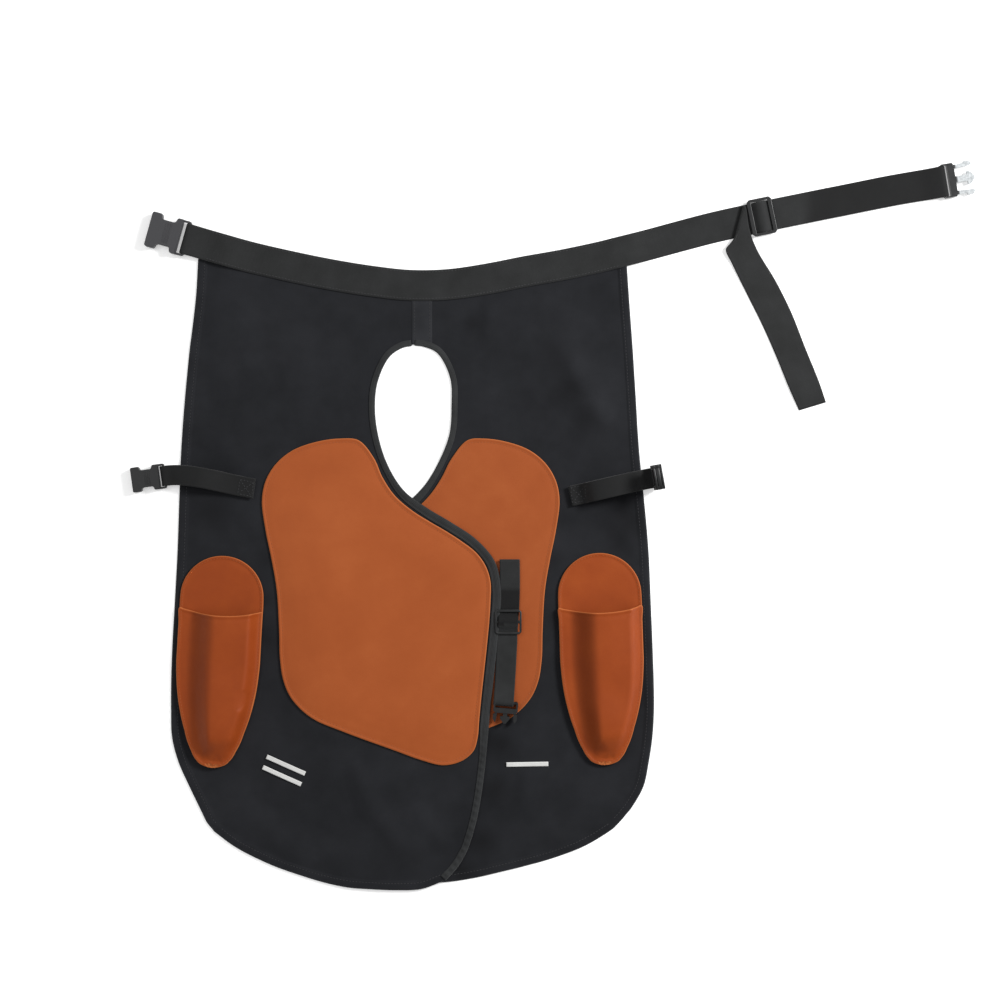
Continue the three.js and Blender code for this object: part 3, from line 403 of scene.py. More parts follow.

# %% [markdown]
# The leather is a reddish brown chrome-tanned side. It has a fine pebbled grain, slow changes of tone,
# faint drag marks, and a paler cut edge where the dye did not soak in. The pockets are of the same
# leather, a little darker, and a painted shade darkens them still more in the valley beside the bulge; a
# painted shade also makes the right knee patch a little darker. That shade could be painted by hand;
# instead each piece carries a number at its points that says how dark it is there, so it can be changed
# in one line.

# %% Leather finish
def leather_finish(name, dark, middle, light, cut):
    hide = Finish(name, roughness=0.55, specular=0.2)
    slow = hide.noise(9, 4, 0.55)
    cloudy = hide.noise(38, 5, 0.6)
    clouds = hide.math("MULTIPLY_ADD", cloudy, 0.35, hide.math("MULTIPLY", slow, 0.65))
    tone = hide.ramp(clouds, (0.3, dark), (0.52, middle), (0.74, light))
    pebbles = {"Vector": hide.place, "Scale": 780, "Randomness": 1.0}
    grain = hide.node("ShaderNodeTexVoronoi", pebbles, feature="DISTANCE_TO_EDGE").outputs["Distance"]
    creases = hide.ramp(grain, (0.0, 0.0), (0.16, 1.0))
    pores = hide.ramp(hide.noise(1500, 2), (0.35, 0.0), (0.6, 1.0))
    toned = hide.mix(hide.math("MULTIPLY", hide.math("SUBTRACT", 1.0, creases), 0.28), tone, dark)
    drag = hide.ramp(hide.noise(60, 4, 0.7, stretch=(1.0, 9.0, 1.0)), (0.62, 0.0), (0.75, 1.0))
    toned = hide.mix(hide.math("MULTIPLY", drag, 0.16), toned, light)
    # Painted shade: darkens the leather towards deep brown by the number each point carries.
    shaded_leather = hide.mix(hide.attribute("painted_shade"), toned, linear(80, 30, 3))
    rim = hide.attribute("rim")
    hide.link(hide.mix(rim, shaded_leather, cut), "Base Color")
    rim_roughness = hide.math("MULTIPLY_ADD", rim, 0.15, 0.46)
    hide.link(hide.math("MULTIPLY_ADD", cloudy, 0.22, rim_roughness), "Roughness")
    first = hide.bump(hide.noise(55, 3), 0.35, 0.6 * MM)
    second = hide.bump(creases, 0.35, 0.12 * MM, first)
    hide.link(hide.bump(pores, 0.2, 0.05 * MM, second), "Normal")
    return hide.material


leather = leather_finish(
    "chestnut_leather",
    dark=linear(154, 74, 30), middle=linear(161, 80, 35), light=linear(169, 88, 42), cut=linear(186, 108, 58),
)
pocket_leather = leather_finish(
    "pocket_leather",
    dark=linear(134, 55, 13), middle=linear(146, 63, 17), light=linear(157, 72, 23), cut=linear(178, 100, 52),
)
print("leather materials:", leather.name, pocket_leather.name)

# %% [markdown]
# Webbing, binding and tape are all narrow woven bands. A weave drawn in the room's coordinates would run
# aslant over a band that turns. Theirs follows the band, so it is drawn in the band's own coordinates:
# across it and along it.

# %% Woven band finishes
def band_finish(name, dark, light, rib, pick):
    band = Finish(name, roughness=0.8, sheen=0.15, specular=0.3)
    across_along = band.node("ShaderNodeUVMap", uv_map="band").outputs["UV"]
    ribs = band.threads(rib, "X", across_along)
    picks = band.threads(pick, "Y", across_along, rotate=0.5)
    weave = band.math("MULTIPLY", ribs, picks)
    slow = band.ramp(band.noise(30, 4), (0.3, 0.0), (0.7, 1.0))
    fuzz = band.ramp(band.noise(1100, 2), (0.55, 0.0), (0.75, 1.0))
    marks = band.math("MULTIPLY_ADD", slow, 0.35, band.math("MULTIPLY", fuzz, 0.25))
    share = band.math("MULTIPLY_ADD", weave, 0.45, marks, clamp=True)
    woven = band.mix(share, dark, light)
    band.link(band.mix(band.attribute("shaded"), woven, linear(3, 3, 4)), "Base Color")
    first = band.bump(picks, 0.4, 0.2 * MM)
    band.link(band.bump(ribs, 0.6, 0.3 * MM, first), "Normal")
    return band.material


webbing = band_finish("black_webbing", linear(22, 23, 23), linear(47, 48, 49), 1.3 * MM, 0.9 * MM)
binding_tape = band_finish("binding_tape", linear(26, 27, 28), linear(58, 60, 61), 1.2 * MM, 0.8 * MM)
white_tape = band_finish("white_tape", linear(205, 205, 203), linear(240, 240, 238), 0.9 * MM, 0.7 * MM)
print("bands:", webbing.name, binding_tape.name, white_tape.name)

# %% [markdown]
# The buckles are moulded from nylon-like plastic. A plain black shader would do from far away, but moulded
# plastic is not mirror smooth. So a fine mould texture breaks up its highlights, and pale scuffs show
# where it has been handled.

# %% Moulded plastic finishes
def plastic_finish(name, base, worn, roughness):
    plastic = Finish(name, roughness=roughness, specular=0.5)
    cloud = plastic.noise(120, 3)
    scuffs = plastic.ramp(plastic.noise(300, 4, 0.7, stretch=(1.0, 5.0, 1.0)), (0.6, 0.0), (0.78, 1.0))
    wear = plastic.math("MULTIPLY_ADD", cloud, 0.3, plastic.math("MULTIPLY", scuffs, 0.35))
    plastic.link(plastic.mix(wear, base, worn), "Base Color")
    plastic.link(plastic.math("MULTIPLY_ADD", cloud, 0.25, roughness - 0.1), "Roughness")
    plastic.link(plastic.bump(plastic.noise(2200, 2), 0.25, 0.06 * MM), "Normal")
    return plastic.material


black_plastic = plastic_finish("black_plastic", linear(12, 13, 14), linear(34, 35, 37), 0.38)
grey_plastic = plastic_finish("grey_plastic", linear(44, 44, 47), linear(76, 76, 80), 0.45)
print("plastics:", black_plastic.name, grey_plastic.name)

# %% [markdown]
# Each side of the body is one sheet of canvas. Its four edges are read from the frame: the top edge under
# the belt, the inner edge with its keyhole curve, the outer edge and the hem. An even grid could be cut to
# that outline, but its steps would show at the edge. So the grid between the four edges is filled as a
# Coons patch, fine near the edges, so that the folded hem and its puckers are real shape.

# %% Find a side's four edges
# The top of the keyhole is a round arch: the seam reaches a little lower than in the frame, and the open
# edge leaves it nearly level. The two shares are how far across and down to the frame's next corner.
KEYHOLE_DROP = 2.4 * MM
KEYHOLE_ROUNDING = (0.42, 0.16)
# The seam is the straight start of the inner edge: the outline's first points that lie this near to its x.
SEAM_POINTS = 12
SEAM_STRAIGHT = 1.5 * MM


def side_edges(node, way):
    """The inner, outer, top and hem lines of a side; way is -1 for the left side and 1 for the right."""
    loop = outline_of(node)
    x, y = loop[:, 0] * way, loop[:, 1]
    corners = [np.argmax(y - x), np.argmax(y + x), np.argmax(x - y), np.argmax(-x - y)]

    def run(start, end):
        step = -1 if way > 0 else 1
        indices = [start]
        while indices[-1] != end:
            indices.append((indices[-1] + step) % len(loop))
        return loop[indices, :2]

    def shorter_run(start, end):
        return min(run(end, start)[::-1], run(start, end), key=len)

    seam_top, outer_top, outer_foot, inner_foot = corners
    lines = {
        "top": smooth_line(shorter_run(seam_top, outer_top), 900),
        "outer": smooth_line(shorter_run(outer_top, outer_foot), 900),
        "hem": smooth_line(shorter_run(inner_foot, outer_foot), 900),
    }
    inner = shorter_run(seam_top, inner_foot)
    straight = [abs(point[0] - inner[0, 0]) < SEAM_STRAIGHT for point in inner[:SEAM_POINTS]]
    seam_end = max(np.flatnonzero(straight))
    seam_foot = inner[seam_end] - (0, KEYHOLE_DROP)
    rounding = seam_foot + (inner[seam_end + 1] - seam_foot) * KEYHOLE_ROUNDING
    lines["seam"] = smooth_line(np.vstack([inner[:seam_end], seam_foot]), 60)
    lines["open"] = smooth_line(np.vstack([seam_foot, rounding, inner[seam_end + 1:]]), 840)
    lines["inner"] = np.vstack([lines["seam"][:-1], lines["open"]])
    return lines


edges = {-1: side_edges("panel_left", -1), 1: side_edges("panel_right", 1)}
for way, lines in edges.items():
    print("side", way, {key: round(float(length_of(line)), 3) for key, line in lines.items()})

# %% [markdown]
# Distances decide where a hem, a seam or a rim lies. They could be painted on as weights, but a measured
# distance is exact and follows every change. So small tools measure how far a point is from a line, how
# far along that line its nearest place is, and where a place in the photograph is on the apron. A last
# one says where the canvas lies free, with nothing sewn on top that its wrinkles would push through.

# %% Measure distances on the cloth
PHOTO_SCALE = 1.238 * MM
SEAM_PIXEL = (413, 300)
SEAM_PLACE = (-0.1733, 0.27906)
POINTS_AT_ONCE = 4000
RIPPLE_GAIN = 1.6


def on_apron(column, row):
    """The place on the apron that the photograph shows at a pixel, in metres."""
    x = SEAM_PLACE[0] + (column - SEAM_PIXEL[0]) * PHOTO_SCALE
    y = SEAM_PLACE[1] + (SEAM_PIXEL[1] - row) * PHOTO_SCALE
    return x, y


def column_x(column):
    """The x of a column of the photograph."""
    return on_apron(column, 0)[0]


def row_y(row):
    """The y of a row of the photograph."""
    return on_apron(0, row)[1]


def from_line(points, line):
    """Distance of each point from a fine line, place along it, and which side it is on."""
    flat = np.asarray(points, float).reshape(-1, 2)
    steps = np.diff(line[:, :2], axis=0)
    lengths = np.maximum(np.linalg.norm(steps, axis=1), 1e-12)
    ways = steps / lengths[:, None]
    starts = np.concatenate([[0], np.cumsum(lengths)])
    distance, place, side = np.empty(len(flat)), np.empty(len(flat)), np.empty(len(flat))
    for first in range(0, len(flat), POINTS_AT_ONCE):
        part = slice(first, first + POINTS_AT_ONCE)
        off = flat[part, None, :] - line[None, :-1, :2]
        along = np.clip((off * ways).sum(2), 0, lengths)
        gap = off - along[..., None] * ways
        size = np.linalg.norm(gap, axis=2)
        best = size.argmin(1)
        rows = np.arange(len(best))
        distance[part] = size[rows, best]
        place[part] = starts[best] + along[rows, best]
        side[part] = np.sign(ways[best, 0] * off[rows, best, 1] - ways[best, 1] * off[rows, best, 0])
    shape = np.asarray(points).shape[:-1]
    return distance.reshape(shape), place.reshape(shape), side.reshape(shape)


def ripple(x, y, size, seed):
    """Smooth noise from -1 to 1 over the floor, with hills of about the given size."""
    flat = np.stack([np.ravel(x) / size, np.ravel(y) / size], 1)
    values = [noise.noise(Vector((a, b, seed))) for a, b in flat]
    return np.reshape(values, np.shape(x)) * RIPPLE_GAIN


SEWN_ON = [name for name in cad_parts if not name.startswith(("panel", "binding"))]


def covered_map(step=5 * MM, spread=4):
    """A function that gives 1 where the canvas lies free and 0 under what is sewn on it."""
    trees = [ray_tree(name) for name in SEWN_ON]
    low = np.array(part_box("panel_left")[0])[:2] - 0.03
    high = np.array(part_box("panel_right")[1])[:2] + 0.03
    xs, ys = np.arange(low[0], high[0], step), np.arange(low[1], high[1], step)
    cover = np.zeros((len(ys), len(xs)))
    for row, y in enumerate(ys):
        for column, x in enumerate(xs):
            ray = (Vector((x, y, 1.0)), Vector((0, 0, -1)))
            cover[row, column] = any(tree.ray_cast(*ray)[0] is not None for tree in trees)
    for _ in range(spread):
        cover = np.maximum(cover, four_neighbours(cover) / 4 * 0.98)
    return lambda x, y: 1 - smoothstep(0.1, 0.7, read_grid(cover, xs, ys, step, x, y))


free_canvas = covered_map()
print("free at the left knee:", round(float(free_canvas(np.array([-0.3]), np.array([0.05]))[0]), 2))

# %% [markdown]
# The canvas is 1.2 mm thick. Along the outer edge and the hem it is folded under once and stitched, so a
# band there is twice as thick, rounded at the edge, drawn in along the stitches and slightly puckered. The
# fold could be a second strip, but it would show as a seam, so one sheet grows thicker there.

# %% Shape of the canvas sheets
CANVAS = 1.2 * MM
HEM_FOLD = 2.3 * MM
HEM_BAND = 11 * MM
HEM_STITCH = 8.6 * MM
PUCKER = 9.5 * MM

under_canvas = {-1: height_map("panel_left", from_below=True), 1: height_map("panel_right", from_below=True)}


def hem_thickness(distance, along):
    """Thickness of the folded band at a distance from the edge and a place along it."""
    band = 1 - smoothstep(HEM_BAND - 1.6 * MM, HEM_BAND + 0.8 * MM, distance)
    stitch = np.exp(-(((distance - HEM_STITCH) / (1.1 * MM)) ** 2))
    wave = 0.5 + 0.5 * np.sin(2 * np.pi * along / PUCKER + 1.3 * np.sin(along * 37) + 0.9 * np.sin(along * 111))
    strong = 0.6 + 0.4 * np.sin(along * 23 + 1)
    puffed = band * smoothstep(0, 2 * MM, distance) * (0.9 * MM * wave * strong + 0.1 * MM)
    return CANVAS + band * (HEM_FOLD - CANVAS) + puffed - stitch * (0.4 + 0.6 * wave) * 0.9 * MM


def canvas_stops(length, start_fine, start_step, end_fine, end_step, step):
    """Shares of a length, closer together near its start and its end."""
    middle = int((length - start_fine - end_fine) / step)
    parts = [
        np.arange(0, start_fine, start_step),
        np.linspace(start_fine, length - end_fine, middle),
        length - np.arange(0, end_fine, end_step)[::-1],
    ]
    return np.concatenate(parts) / length


def coons(lines, across, down):
    """Plan places between four edges, at shares across and down."""
    top, hem = along_line(lines["top"], across)[None], along_line(lines["hem"], across)[None]
    inner, outer = along_line(lines["inner"], down)[:, None], along_line(lines["outer"], down)[:, None]
    s, t = (grid[..., None] for grid in np.meshgrid(across, down))
    upper_corners = (1 - s) * (1 - t) * top[:, :1] + s * (1 - t) * top[:, -1:]
    corners = upper_corners + (1 - s) * t * hem[:, :1] + s * t * hem[:, -1:]
    return (1 - t) * top + t * hem + (1 - s) * inner + s * outer - corners


print("hem thickness in mm:", [round(float(hem_thickness(d * MM, 0.1)) * 1000, 2) for d in (1, 5, 8.6, 12)])

# %% [markdown]
# The two sides are made by one function, so that both change together. The underside follows the frame,
# since the canvas lies on the floor and over its other half; the thickness, the wrinkles and the hem are
# then added on top. The folds could come from a cloth simulation, but each one in the photograph has its
# place, so they are written down as ridges.

# %% Make the canvas sides
BOUND_LIFT = 0.7 * MM
OFF_FLOOR = 0.05 * MM
NET = 3.6 * MM
HEM_NET, HEM_NET_WIDTH = 1.3 * MM, 16 * MM
TOP_NET, TOP_NET_WIDTH, BOUND_NET_WIDTH = 2 * MM, 4 * MM, 14 * MM


def wrinkles(x, y, way):
    """Soft unevenness of a used canvas that lies flat: broad waves and a few finer creases."""
    broad = ripple(x, y, 90 * MM, 3.0 * way) * 0.9 * MM
    fine = ripple(x + 0.4 * y, y - 0.3 * x, 26 * MM, 7.0 * way) * 0.35 * MM
    return (broad + fine) * free_canvas(x, y)


# Each ridge is a line of places in the photograph, the half width of the fold and its height.
RIDGES = {
    -1: [
        (((350, 748), (368, 800), (404, 846)), 13 * MM, 3.2 * MM),
        (((412, 800), (436, 836), (446, 858)), 12 * MM, 2.2 * MM),
        (((238, 800), (285, 846), (330, 868)), 16 * MM, 2.6 * MM),
        (((238, 300), (252, 350), (262, 400)), 20 * MM, 1.6 * MM),
        (((225, 518), (238, 545), (246, 560)), 10 * MM, 1.8 * MM),
    ],
    1: [
        (((486, 296), (488, 325), (484, 350)), 9 * MM, 2.4 * MM),
        (((556, 330), (586, 392), (616, 440)), 15 * MM, 4.2 * MM),
        (((600, 512), (622, 532), (640, 560)), 12 * MM, 2.6 * MM),
        (((520, 800), (560, 838), (600, 846)), 16 * MM, 2.4 * MM),
        (((516, 742), (524, 770), (520, 810)), 9 * MM, 1.8 * MM),
    ],
}
# Each shade is a place in the photograph, its reach in pixels and how dark it is.
SHADES = {
    -1: [
        (213, 511, 21, 0.75), (266, 560, 9, 0.5), (266, 600, 9, 0.5), (266, 640, 9, 0.5),
        (322, 770, 16, 0.35), (395, 856, 20, 0.3),
    ],
    1: [
        (626, 524, 26, 0.75), (552, 350, 14, 0.45), (566, 392, 16, 0.5), (588, 420, 15, 0.4),
        (472, 322, 9, 0.5), (499, 745, 12, 0.8), (494, 790, 12, 0.7), (482, 840, 14, 0.7),
        (462, 872, 12, 0.8), (555, 560, 9, 0.5), (556, 620, 10, 0.5),
    ],
}


def ridge_heights(x, y, way):
    """Height of the named folds, which fade out at both ends."""
    points = np.stack([x, y], -1)
    total = np.zeros(np.shape(x))
    for pixels, width, height in RIDGES[way]:
        line = smooth_line([on_apron(*pixel) for pixel in pixels], 60)
        distance, place, _ = from_line(points, line)
        share = place / length_of(line)
        ends = smoothstep(-0.05, 0.3, share) * (1 - smoothstep(0.7, 1.05, share))
        total = total + height * np.exp(-((distance / width) ** 2)) * ends
    return total * free_canvas(x, y)


def canvas_painted_shade(x, y, way):
    """Painted shade in the hollows beside the straps and folds, from 0 to 1."""
    tone = np.zeros(np.shape(x))
    for column, row, reach, depth in SHADES[way]:
        place = on_apron(column, row)
        off = np.hypot(x - place[0], y - place[1]) / (reach * PHOTO_SCALE)
        tone = np.maximum(tone, depth * np.exp(-(off ** 2)))
    return tone


def canvas_heights(x, y, way):
    """Lower and upper height of the canvas over the floor at the given places."""
    points = np.stack([x, y], -1)
    lines = edges[way]
    outer, outer_place, _ = from_line(points, lines["outer"])
    foot, foot_place, _ = from_line(points, lines["hem"])
    inner, _, _ = from_line(points, lines["inner"])
    under = under_canvas[way](x, y)
    seam_foot = lines["open"][0, 1]
    bare_inner = smoothstep(seam_foot, seam_foot + 1 * MM, y)
    thickness = np.maximum(hem_thickness(outer, outer_place), hem_thickness(foot, foot_place))
    near = np.minimum(outer, foot)
    rounded = np.sqrt(np.clip(1 - (1 - np.clip(near / (1.3 * MM), 0, 1)) ** 2, 0.02, 1))
    bound = (1 - bare_inner) * (1 - smoothstep(3.0 * MM, 7 * MM, inner)) * BOUND_LIFT
    wave = wrinkles(x, y, way) + ridge_heights(x, y, way)
    raised = np.maximum(np.maximum(wave, OFF_FLOOR - under), 0)
    lower = under + bound + raised
    upper = lower + CANVAS * 0.5 + (thickness - CANVAS * 0.5) * rounded
    return lower, upper, near


def canvas_side(node, way, name):
    """One side of the body, its flat width and length, and its area."""
    lines = edges[way]
    width = np.linalg.norm(lines["hem"][-1] - lines["hem"][0])
    drop = np.linalg.norm(lines["outer"][-1] - lines["outer"][0])
    across = canvas_stops(width, BOUND_NET_WIDTH, TOP_NET, HEM_NET_WIDTH, HEM_NET, NET)
    down = canvas_stops(drop, TOP_NET_WIDTH, TOP_NET, HEM_NET_WIDTH, HEM_NET, NET)
    plan = coons(lines, across, down)
    lower, upper, near = canvas_heights(plan[..., 0], plan[..., 1], way)
    top = np.dstack([plan, upper])
    foot = np.dstack([plan, lower])
    if way > 0:
        top, foot, near = top[:, ::-1], foot[:, ::-1], near[:, ::-1]
    vertices, faces = closed_sheet(top, foot)
    side = piece_from(name, vertices, faces, canvas, "canvas")
    wear_and_highlight = 0.6 * (1 - smoothstep(0.3 * MM, 2.2 * MM, near))
    point_attribute(side, "wear_and_highlight", np.concatenate([wear_and_highlight.ravel(), wear_and_highlight.ravel()]))
    # Painted shade for the hollows beside the straps and folds.
    tone = canvas_painted_shade(top[..., 0], top[..., 1], way)
    point_attribute(side, "painted_hollow_shade", np.concatenate([tone.ravel(), tone.ravel()]))
    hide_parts(node)
    flat = tuple(float(size) for size in np.ptp(plan.reshape(-1, 2), axis=0))
    area = abs(float(np.sum(np.cross(plan[1:, 1:] - plan[:-1, :-1], plan[1:, :-1] - plan[:-1, 1:])) / 2))
    print(name, "cells", plan.shape[:2], "flat", [round(v, 3) for v in flat], "area", round(area, 4))
    return side, flat, area


left_side, left_flat, left_area = canvas_side("panel_left", -1, "canvas_side_left")
right_side, right_flat, right_area = canvas_side("panel_right", 1, "canvas_side_right")

# %% [markdown]
# The binding is a narrow woven tape folded over the raw inner edge of the canvas. Its section is a flat
# hook: it runs along the top of the canvas, round the edge, and a little way back beneath. A bevelled
# curve would sweep the same section everywhere, but this tape grows narrower and puckers on its way down,
# so each point of the section is laid along the edge by itself.

# %% Sweep a section along a line
BINDING_WIDTH = 10.5 * MM
BINDING_THICK = 0.9 * MM


def plan_normals(line, closed=False):
    """Unit vectors to the left of a line in plan."""
    if closed:
        ways = np.roll(line, -1, 0) - np.roll(line, 1, 0)
    else:
        ways = np.gradient(line, axis=0)
    ways = ways / np.maximum(np.linalg.norm(ways, axis=1), 1e-12)[:, None]
    return np.stack([-ways[:, 1], ways[:, 0]], 1)


def band_uv(piece, across, along):
    """Coordinates across and along a band, in metres, for its woven finish."""
    layer = piece.data.uv_layers.new(name="band")
    corners = np.empty(len(piece.data.loops), np.int32)
    piece.data.loops.foreach_get("vertex_index", corners)
    pairs = np.stack([np.ravel(across)[corners], np.ravel(along)[corners]], 1)
    layer.data.foreach_set("uv", pairs.astype(np.float32).ravel())


BINDING_STITCH = 7.8 * MM
TURNS = (60, 30, 0, -30, -60)


def binding(node, way, name):
    """The tape bound round one inner edge."""
    line = along_line(edges[way]["open"][2:-2], np.linspace(0, 1, 420))
    into = plan_normals(line) * (1 if way > 0 else -1)
    reach = np.linspace(BINDING_WIDTH, 0.4 * MM, 12)
    narrow = 0.94 - 0.30 * smoothstep(row_y(520), row_y(470), line[:, 1])
    narrow -= 0.22 * smoothstep(row_y(725), row_y(760), line[:, 1])
    place = places_along(line)
    wave = np.sin(place * 2 * np.pi / (5.2 * MM))
    low_edge = 1 - smoothstep(row_y(770), row_y(725), line[:, 1])
    tucks = (0.15 + 0.85 * low_edge) * np.clip(np.sin(2 * np.pi * place / PUCKER + np.sin(place * 41)), -0.3, 1)
    outer_rows, inner_rows = [], []
    for step in reach:
        at = line + into * step * narrow[:, None]
        upper = canvas_heights(at[:, 0], at[:, 1], way)[1]
        groove = 0.22 * MM * np.exp(-(((step - BINDING_STITCH) / (0.9 * MM)) ** 2)) * (1 + 0.6 * wave)
        rim = 0.25 * MM * np.exp(-(((step - BINDING_WIDTH) / (0.9 * MM)) ** 2))
        pucker = tucks * math.sin(math.pi * min(step / BINDING_WIDTH, 1)) * 0.9 * MM
        row = np.column_stack([at, upper + 0.12 * MM + BINDING_THICK - groove - rim + pucker])
        outer_rows.append(row)
        inner_rows.append(row - [0, 0, BINDING_THICK])
    lower, upper, _ = canvas_heights(line[:, 0], line[:, 1], way)
    middle = (lower + upper) / 2
    radius = (upper - lower) / 2 + 0.1 * MM
    for turn in TURNS:
        angle = math.radians(turn)
        out = line - into * (math.cos(angle) * 0.9 * MM)
        back = line + into * (0.05 * MM)
        outer_rows.append(np.column_stack([out, middle + math.sin(angle) * (radius + BINDING_THICK * 0.6)]))
        inner_rows.append(np.column_stack([back, middle + math.sin(angle) * radius]))
    for step in (0.6 * MM, 2.2 * MM):
        at = line + into * step
        row = np.column_stack([at, canvas_heights(at[:, 0], at[:, 1], way)[0] - 0.5 * MM])
        outer_rows.append(row)
        inner_rows.append(row + [0, 0, 0.4 * MM])
    outer_rows, inner_rows = np.stack(outer_rows), np.stack(inner_rows)
    outer_rows[..., 2] = np.maximum(outer_rows[..., 2], 0.02 * MM)
    vertices, faces = closed_sheet(outer_rows, inner_rows)
    if way < 0:
        faces = faces[:, ::-1]
    band = piece_from(name, vertices, faces, binding_tape, "binding")
    section = outer_rows[:, 100]
    across, along = np.meshgrid(places_along(section), place, indexing="ij")
    band_uv(band, np.concatenate([across.ravel()] * 2), np.concatenate([along.ravel()] * 2))
    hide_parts(node)
    print(name, "length", round(float(place[-1]), 3), "width", round(float(length_of(section)), 4))
    return band


left_binding = binding("binding_left", -1, "edge_binding_left")
right_binding = binding("binding_right", 1, "edge_binding_right")

# %% [markdown]
# Leather pieces are cut from one side with a knife, so their shape is an outline and their surface is
# nearly flat. A filled curve would be quicker, but its long thin triangles would crease when they are
# raised. So the outline is filled with a few close rings at the rim, where the cut edge rounds over, and
# an even net inside. Heights are then given by a function of the distance from the rim.

# %% Cut a leather shape
RIM_RINGS = (0.0, 0.45 * MM, 1.0 * MM, 1.8 * MM, 2.9 * MM, 4.2 * MM, 6.0 * MM, 8.2 * MM)


def cut_shape(outline, step, net):
    """Points, faces and rim distances of a flat shape with close rings along its rim."""
    length = np.linalg.norm(np.diff(outline, axis=0, append=outline[:1]), axis=1).sum()
    ring = smooth_line(outline, int(length / step), closed=True)
    inward = plan_normals(ring, closed=True)
    points = [ring + inward * depth for depth in RIM_RINGS]
    edge_line = np.vstack([ring, ring[:1]])
    low, high = ring.min(0), ring.max(0)
    xs, ys = np.arange(low[0], high[0], net), np.arange(low[1], high[1], net * 0.87)
    grid = np.stack(np.meshgrid(xs, ys), -1)
    grid[1::2, :, 0] += net / 2
    grid = grid.reshape(-1, 2)
    distance, _, side = from_line(grid, edge_line)
    inside = grid[(side > 0) & (distance > RIM_RINGS[-1] + net * 0.6)]
    every = np.vstack(points + [inside])
    count = len(ring)
    loop = [(i, (i + 1) % count) for i in range(count)]
    made = geometry.delaunay_2d_cdt([Vector(p) for p in every], loop, [], 1, 1e-7)
    vertices = np.array([v[:] for v in made[0]])
    faces = np.array([face[:] for face in made[2]])
    return vertices, faces, from_line(vertices, edge_line)[0]


def leather_piece(name, vertices, faces, top, under, distance, material, slot, rim_width=0.7 * MM):
    """A closed sheet from a flat cut and its two height lists."""
    # A dict keeps the edges in order, so that every run numbers the walls alike.
    used = dict.fromkeys((a, b) for face in faces for a, b in zip(face, np.roll(face, -1)))
    open_edges = [(a, b) for a, b in used if (b, a) not in used]
    count = len(vertices)
    walls = [(b, a, a + count, b + count) for a, b in open_edges]
    every = np.vstack([np.column_stack([vertices, top]), np.column_stack([vertices, under])])
    shell = [tuple(f) for f in faces] + [tuple(f[::-1] + count) for f in faces] + walls
    piece = piece_from(name, every, shell, material, slot)
    rim = 1 - smoothstep(rim_width * 0.5, rim_width * 1.4, distance)
    point_attribute(piece, "rim", np.concatenate([rim, rim]))
    return piece


print("rim rings in mm:", [ring * 1000 for ring in RIM_RINGS])

# %% [markdown]
# The knee patches are sewn down round their edge. The stitching pulls the leather down a little, so the
# rim stands up outside it as a thin raised line, and the middle is very slightly full. A bump map could
# draw that rim, but it would vanish at the edge of the piece, so it is given real height. The right patch
# lies in the lap's shade, so a painted shade makes it a little darker than the left.

# %% Knee patches
LEATHER = 1.8 * MM
PATCH_STITCH = 5.0 * MM
# Painted shade: the right patch lies in the lap's shade, so it is made a little darker.
PATCH_PAINTED_SHADE = {-1: 0.0, 1: 0.09}


def rim_profile(distance, fullness):
    """Height of a sewn leather surface over its own underside, by distance from the rim."""
    rounded = np.sqrt(np.clip(1 - (1 - np.clip(distance / (1.1 * MM), 0, 1)) ** 2, 0.05, 1))
    lip = 0.35 * MM * np.exp(-(((distance - 1.5 * MM) / (1.2 * MM)) ** 2))
    stitch = 0.35 * MM * np.exp(-(((distance - PATCH_STITCH) / (1.4 * MM)) ** 2))
    full = fullness * smoothstep(4 * MM, 26 * MM, distance)
    return LEATHER * 0.45 + LEATHER * 0.55 * rounded + lip - stitch + full


def knee_patch(node, way, name):
    """One knee patch, with its painted shade."""
    outline = outline_of(node)[:, :2]
    vertices, faces, distance = cut_shape(outline, 2.0 * MM, 4.2 * MM)
    x, y = vertices[:, 0], vertices[:, 1]
    bottom = height_map(node, from_below=True)(x, y)
    soft = ripple(x, y, 45 * MM, 2.0 + way) * 0.35 * MM * smoothstep(5 * MM, 20 * MM, distance)
    top = bottom + rim_profile(distance, 0.5 * MM) + soft
    patch = leather_piece(name, vertices, faces, top, bottom, distance, leather, "leather")
    point_attribute(patch, "painted_shade", np.full(2 * len(vertices), PATCH_PAINTED_SHADE[way]))
    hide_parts(node)
    print(name, "points", len(vertices), "top at", round(float(top.max()) * 1000, 1), "mm")
    return patch


left_patch = knee_patch("knee_patch_left", -1, "knee_leather_left")
right_patch = knee_patch("knee_patch_right", 1, "knee_leather_right")

# %% [markdown]
# Each side pocket is a flat leather plate sewn to the canvas and a moulded leather front with a narrow
# flange. The plate could stop at the mouth of the pocket, where it goes out of sight, but a real one goes
# on beneath the front, so it does here. The photograph shows each pocket a little beside the frame's and
# with a blunter foot, so its outline is moved and widened by the values below.

# %% Pocket plates
PLATES = {-1: "pocket_back_left", 1: "pocket_back_right"}
POCKET_SHIFT = {-1: (2.9 * MM, 0.0), 1: (-1.0 * MM, 0.0)}
FOOT_HEIGHTS = (0, 3 * MM, 8 * MM, 20 * MM, 45 * MM, 90 * MM, 130 * MM)
FOOT_WIDTHS = (1.25, 1.22, 1.08, 0.97, 0.93, 0.97, 1.0)


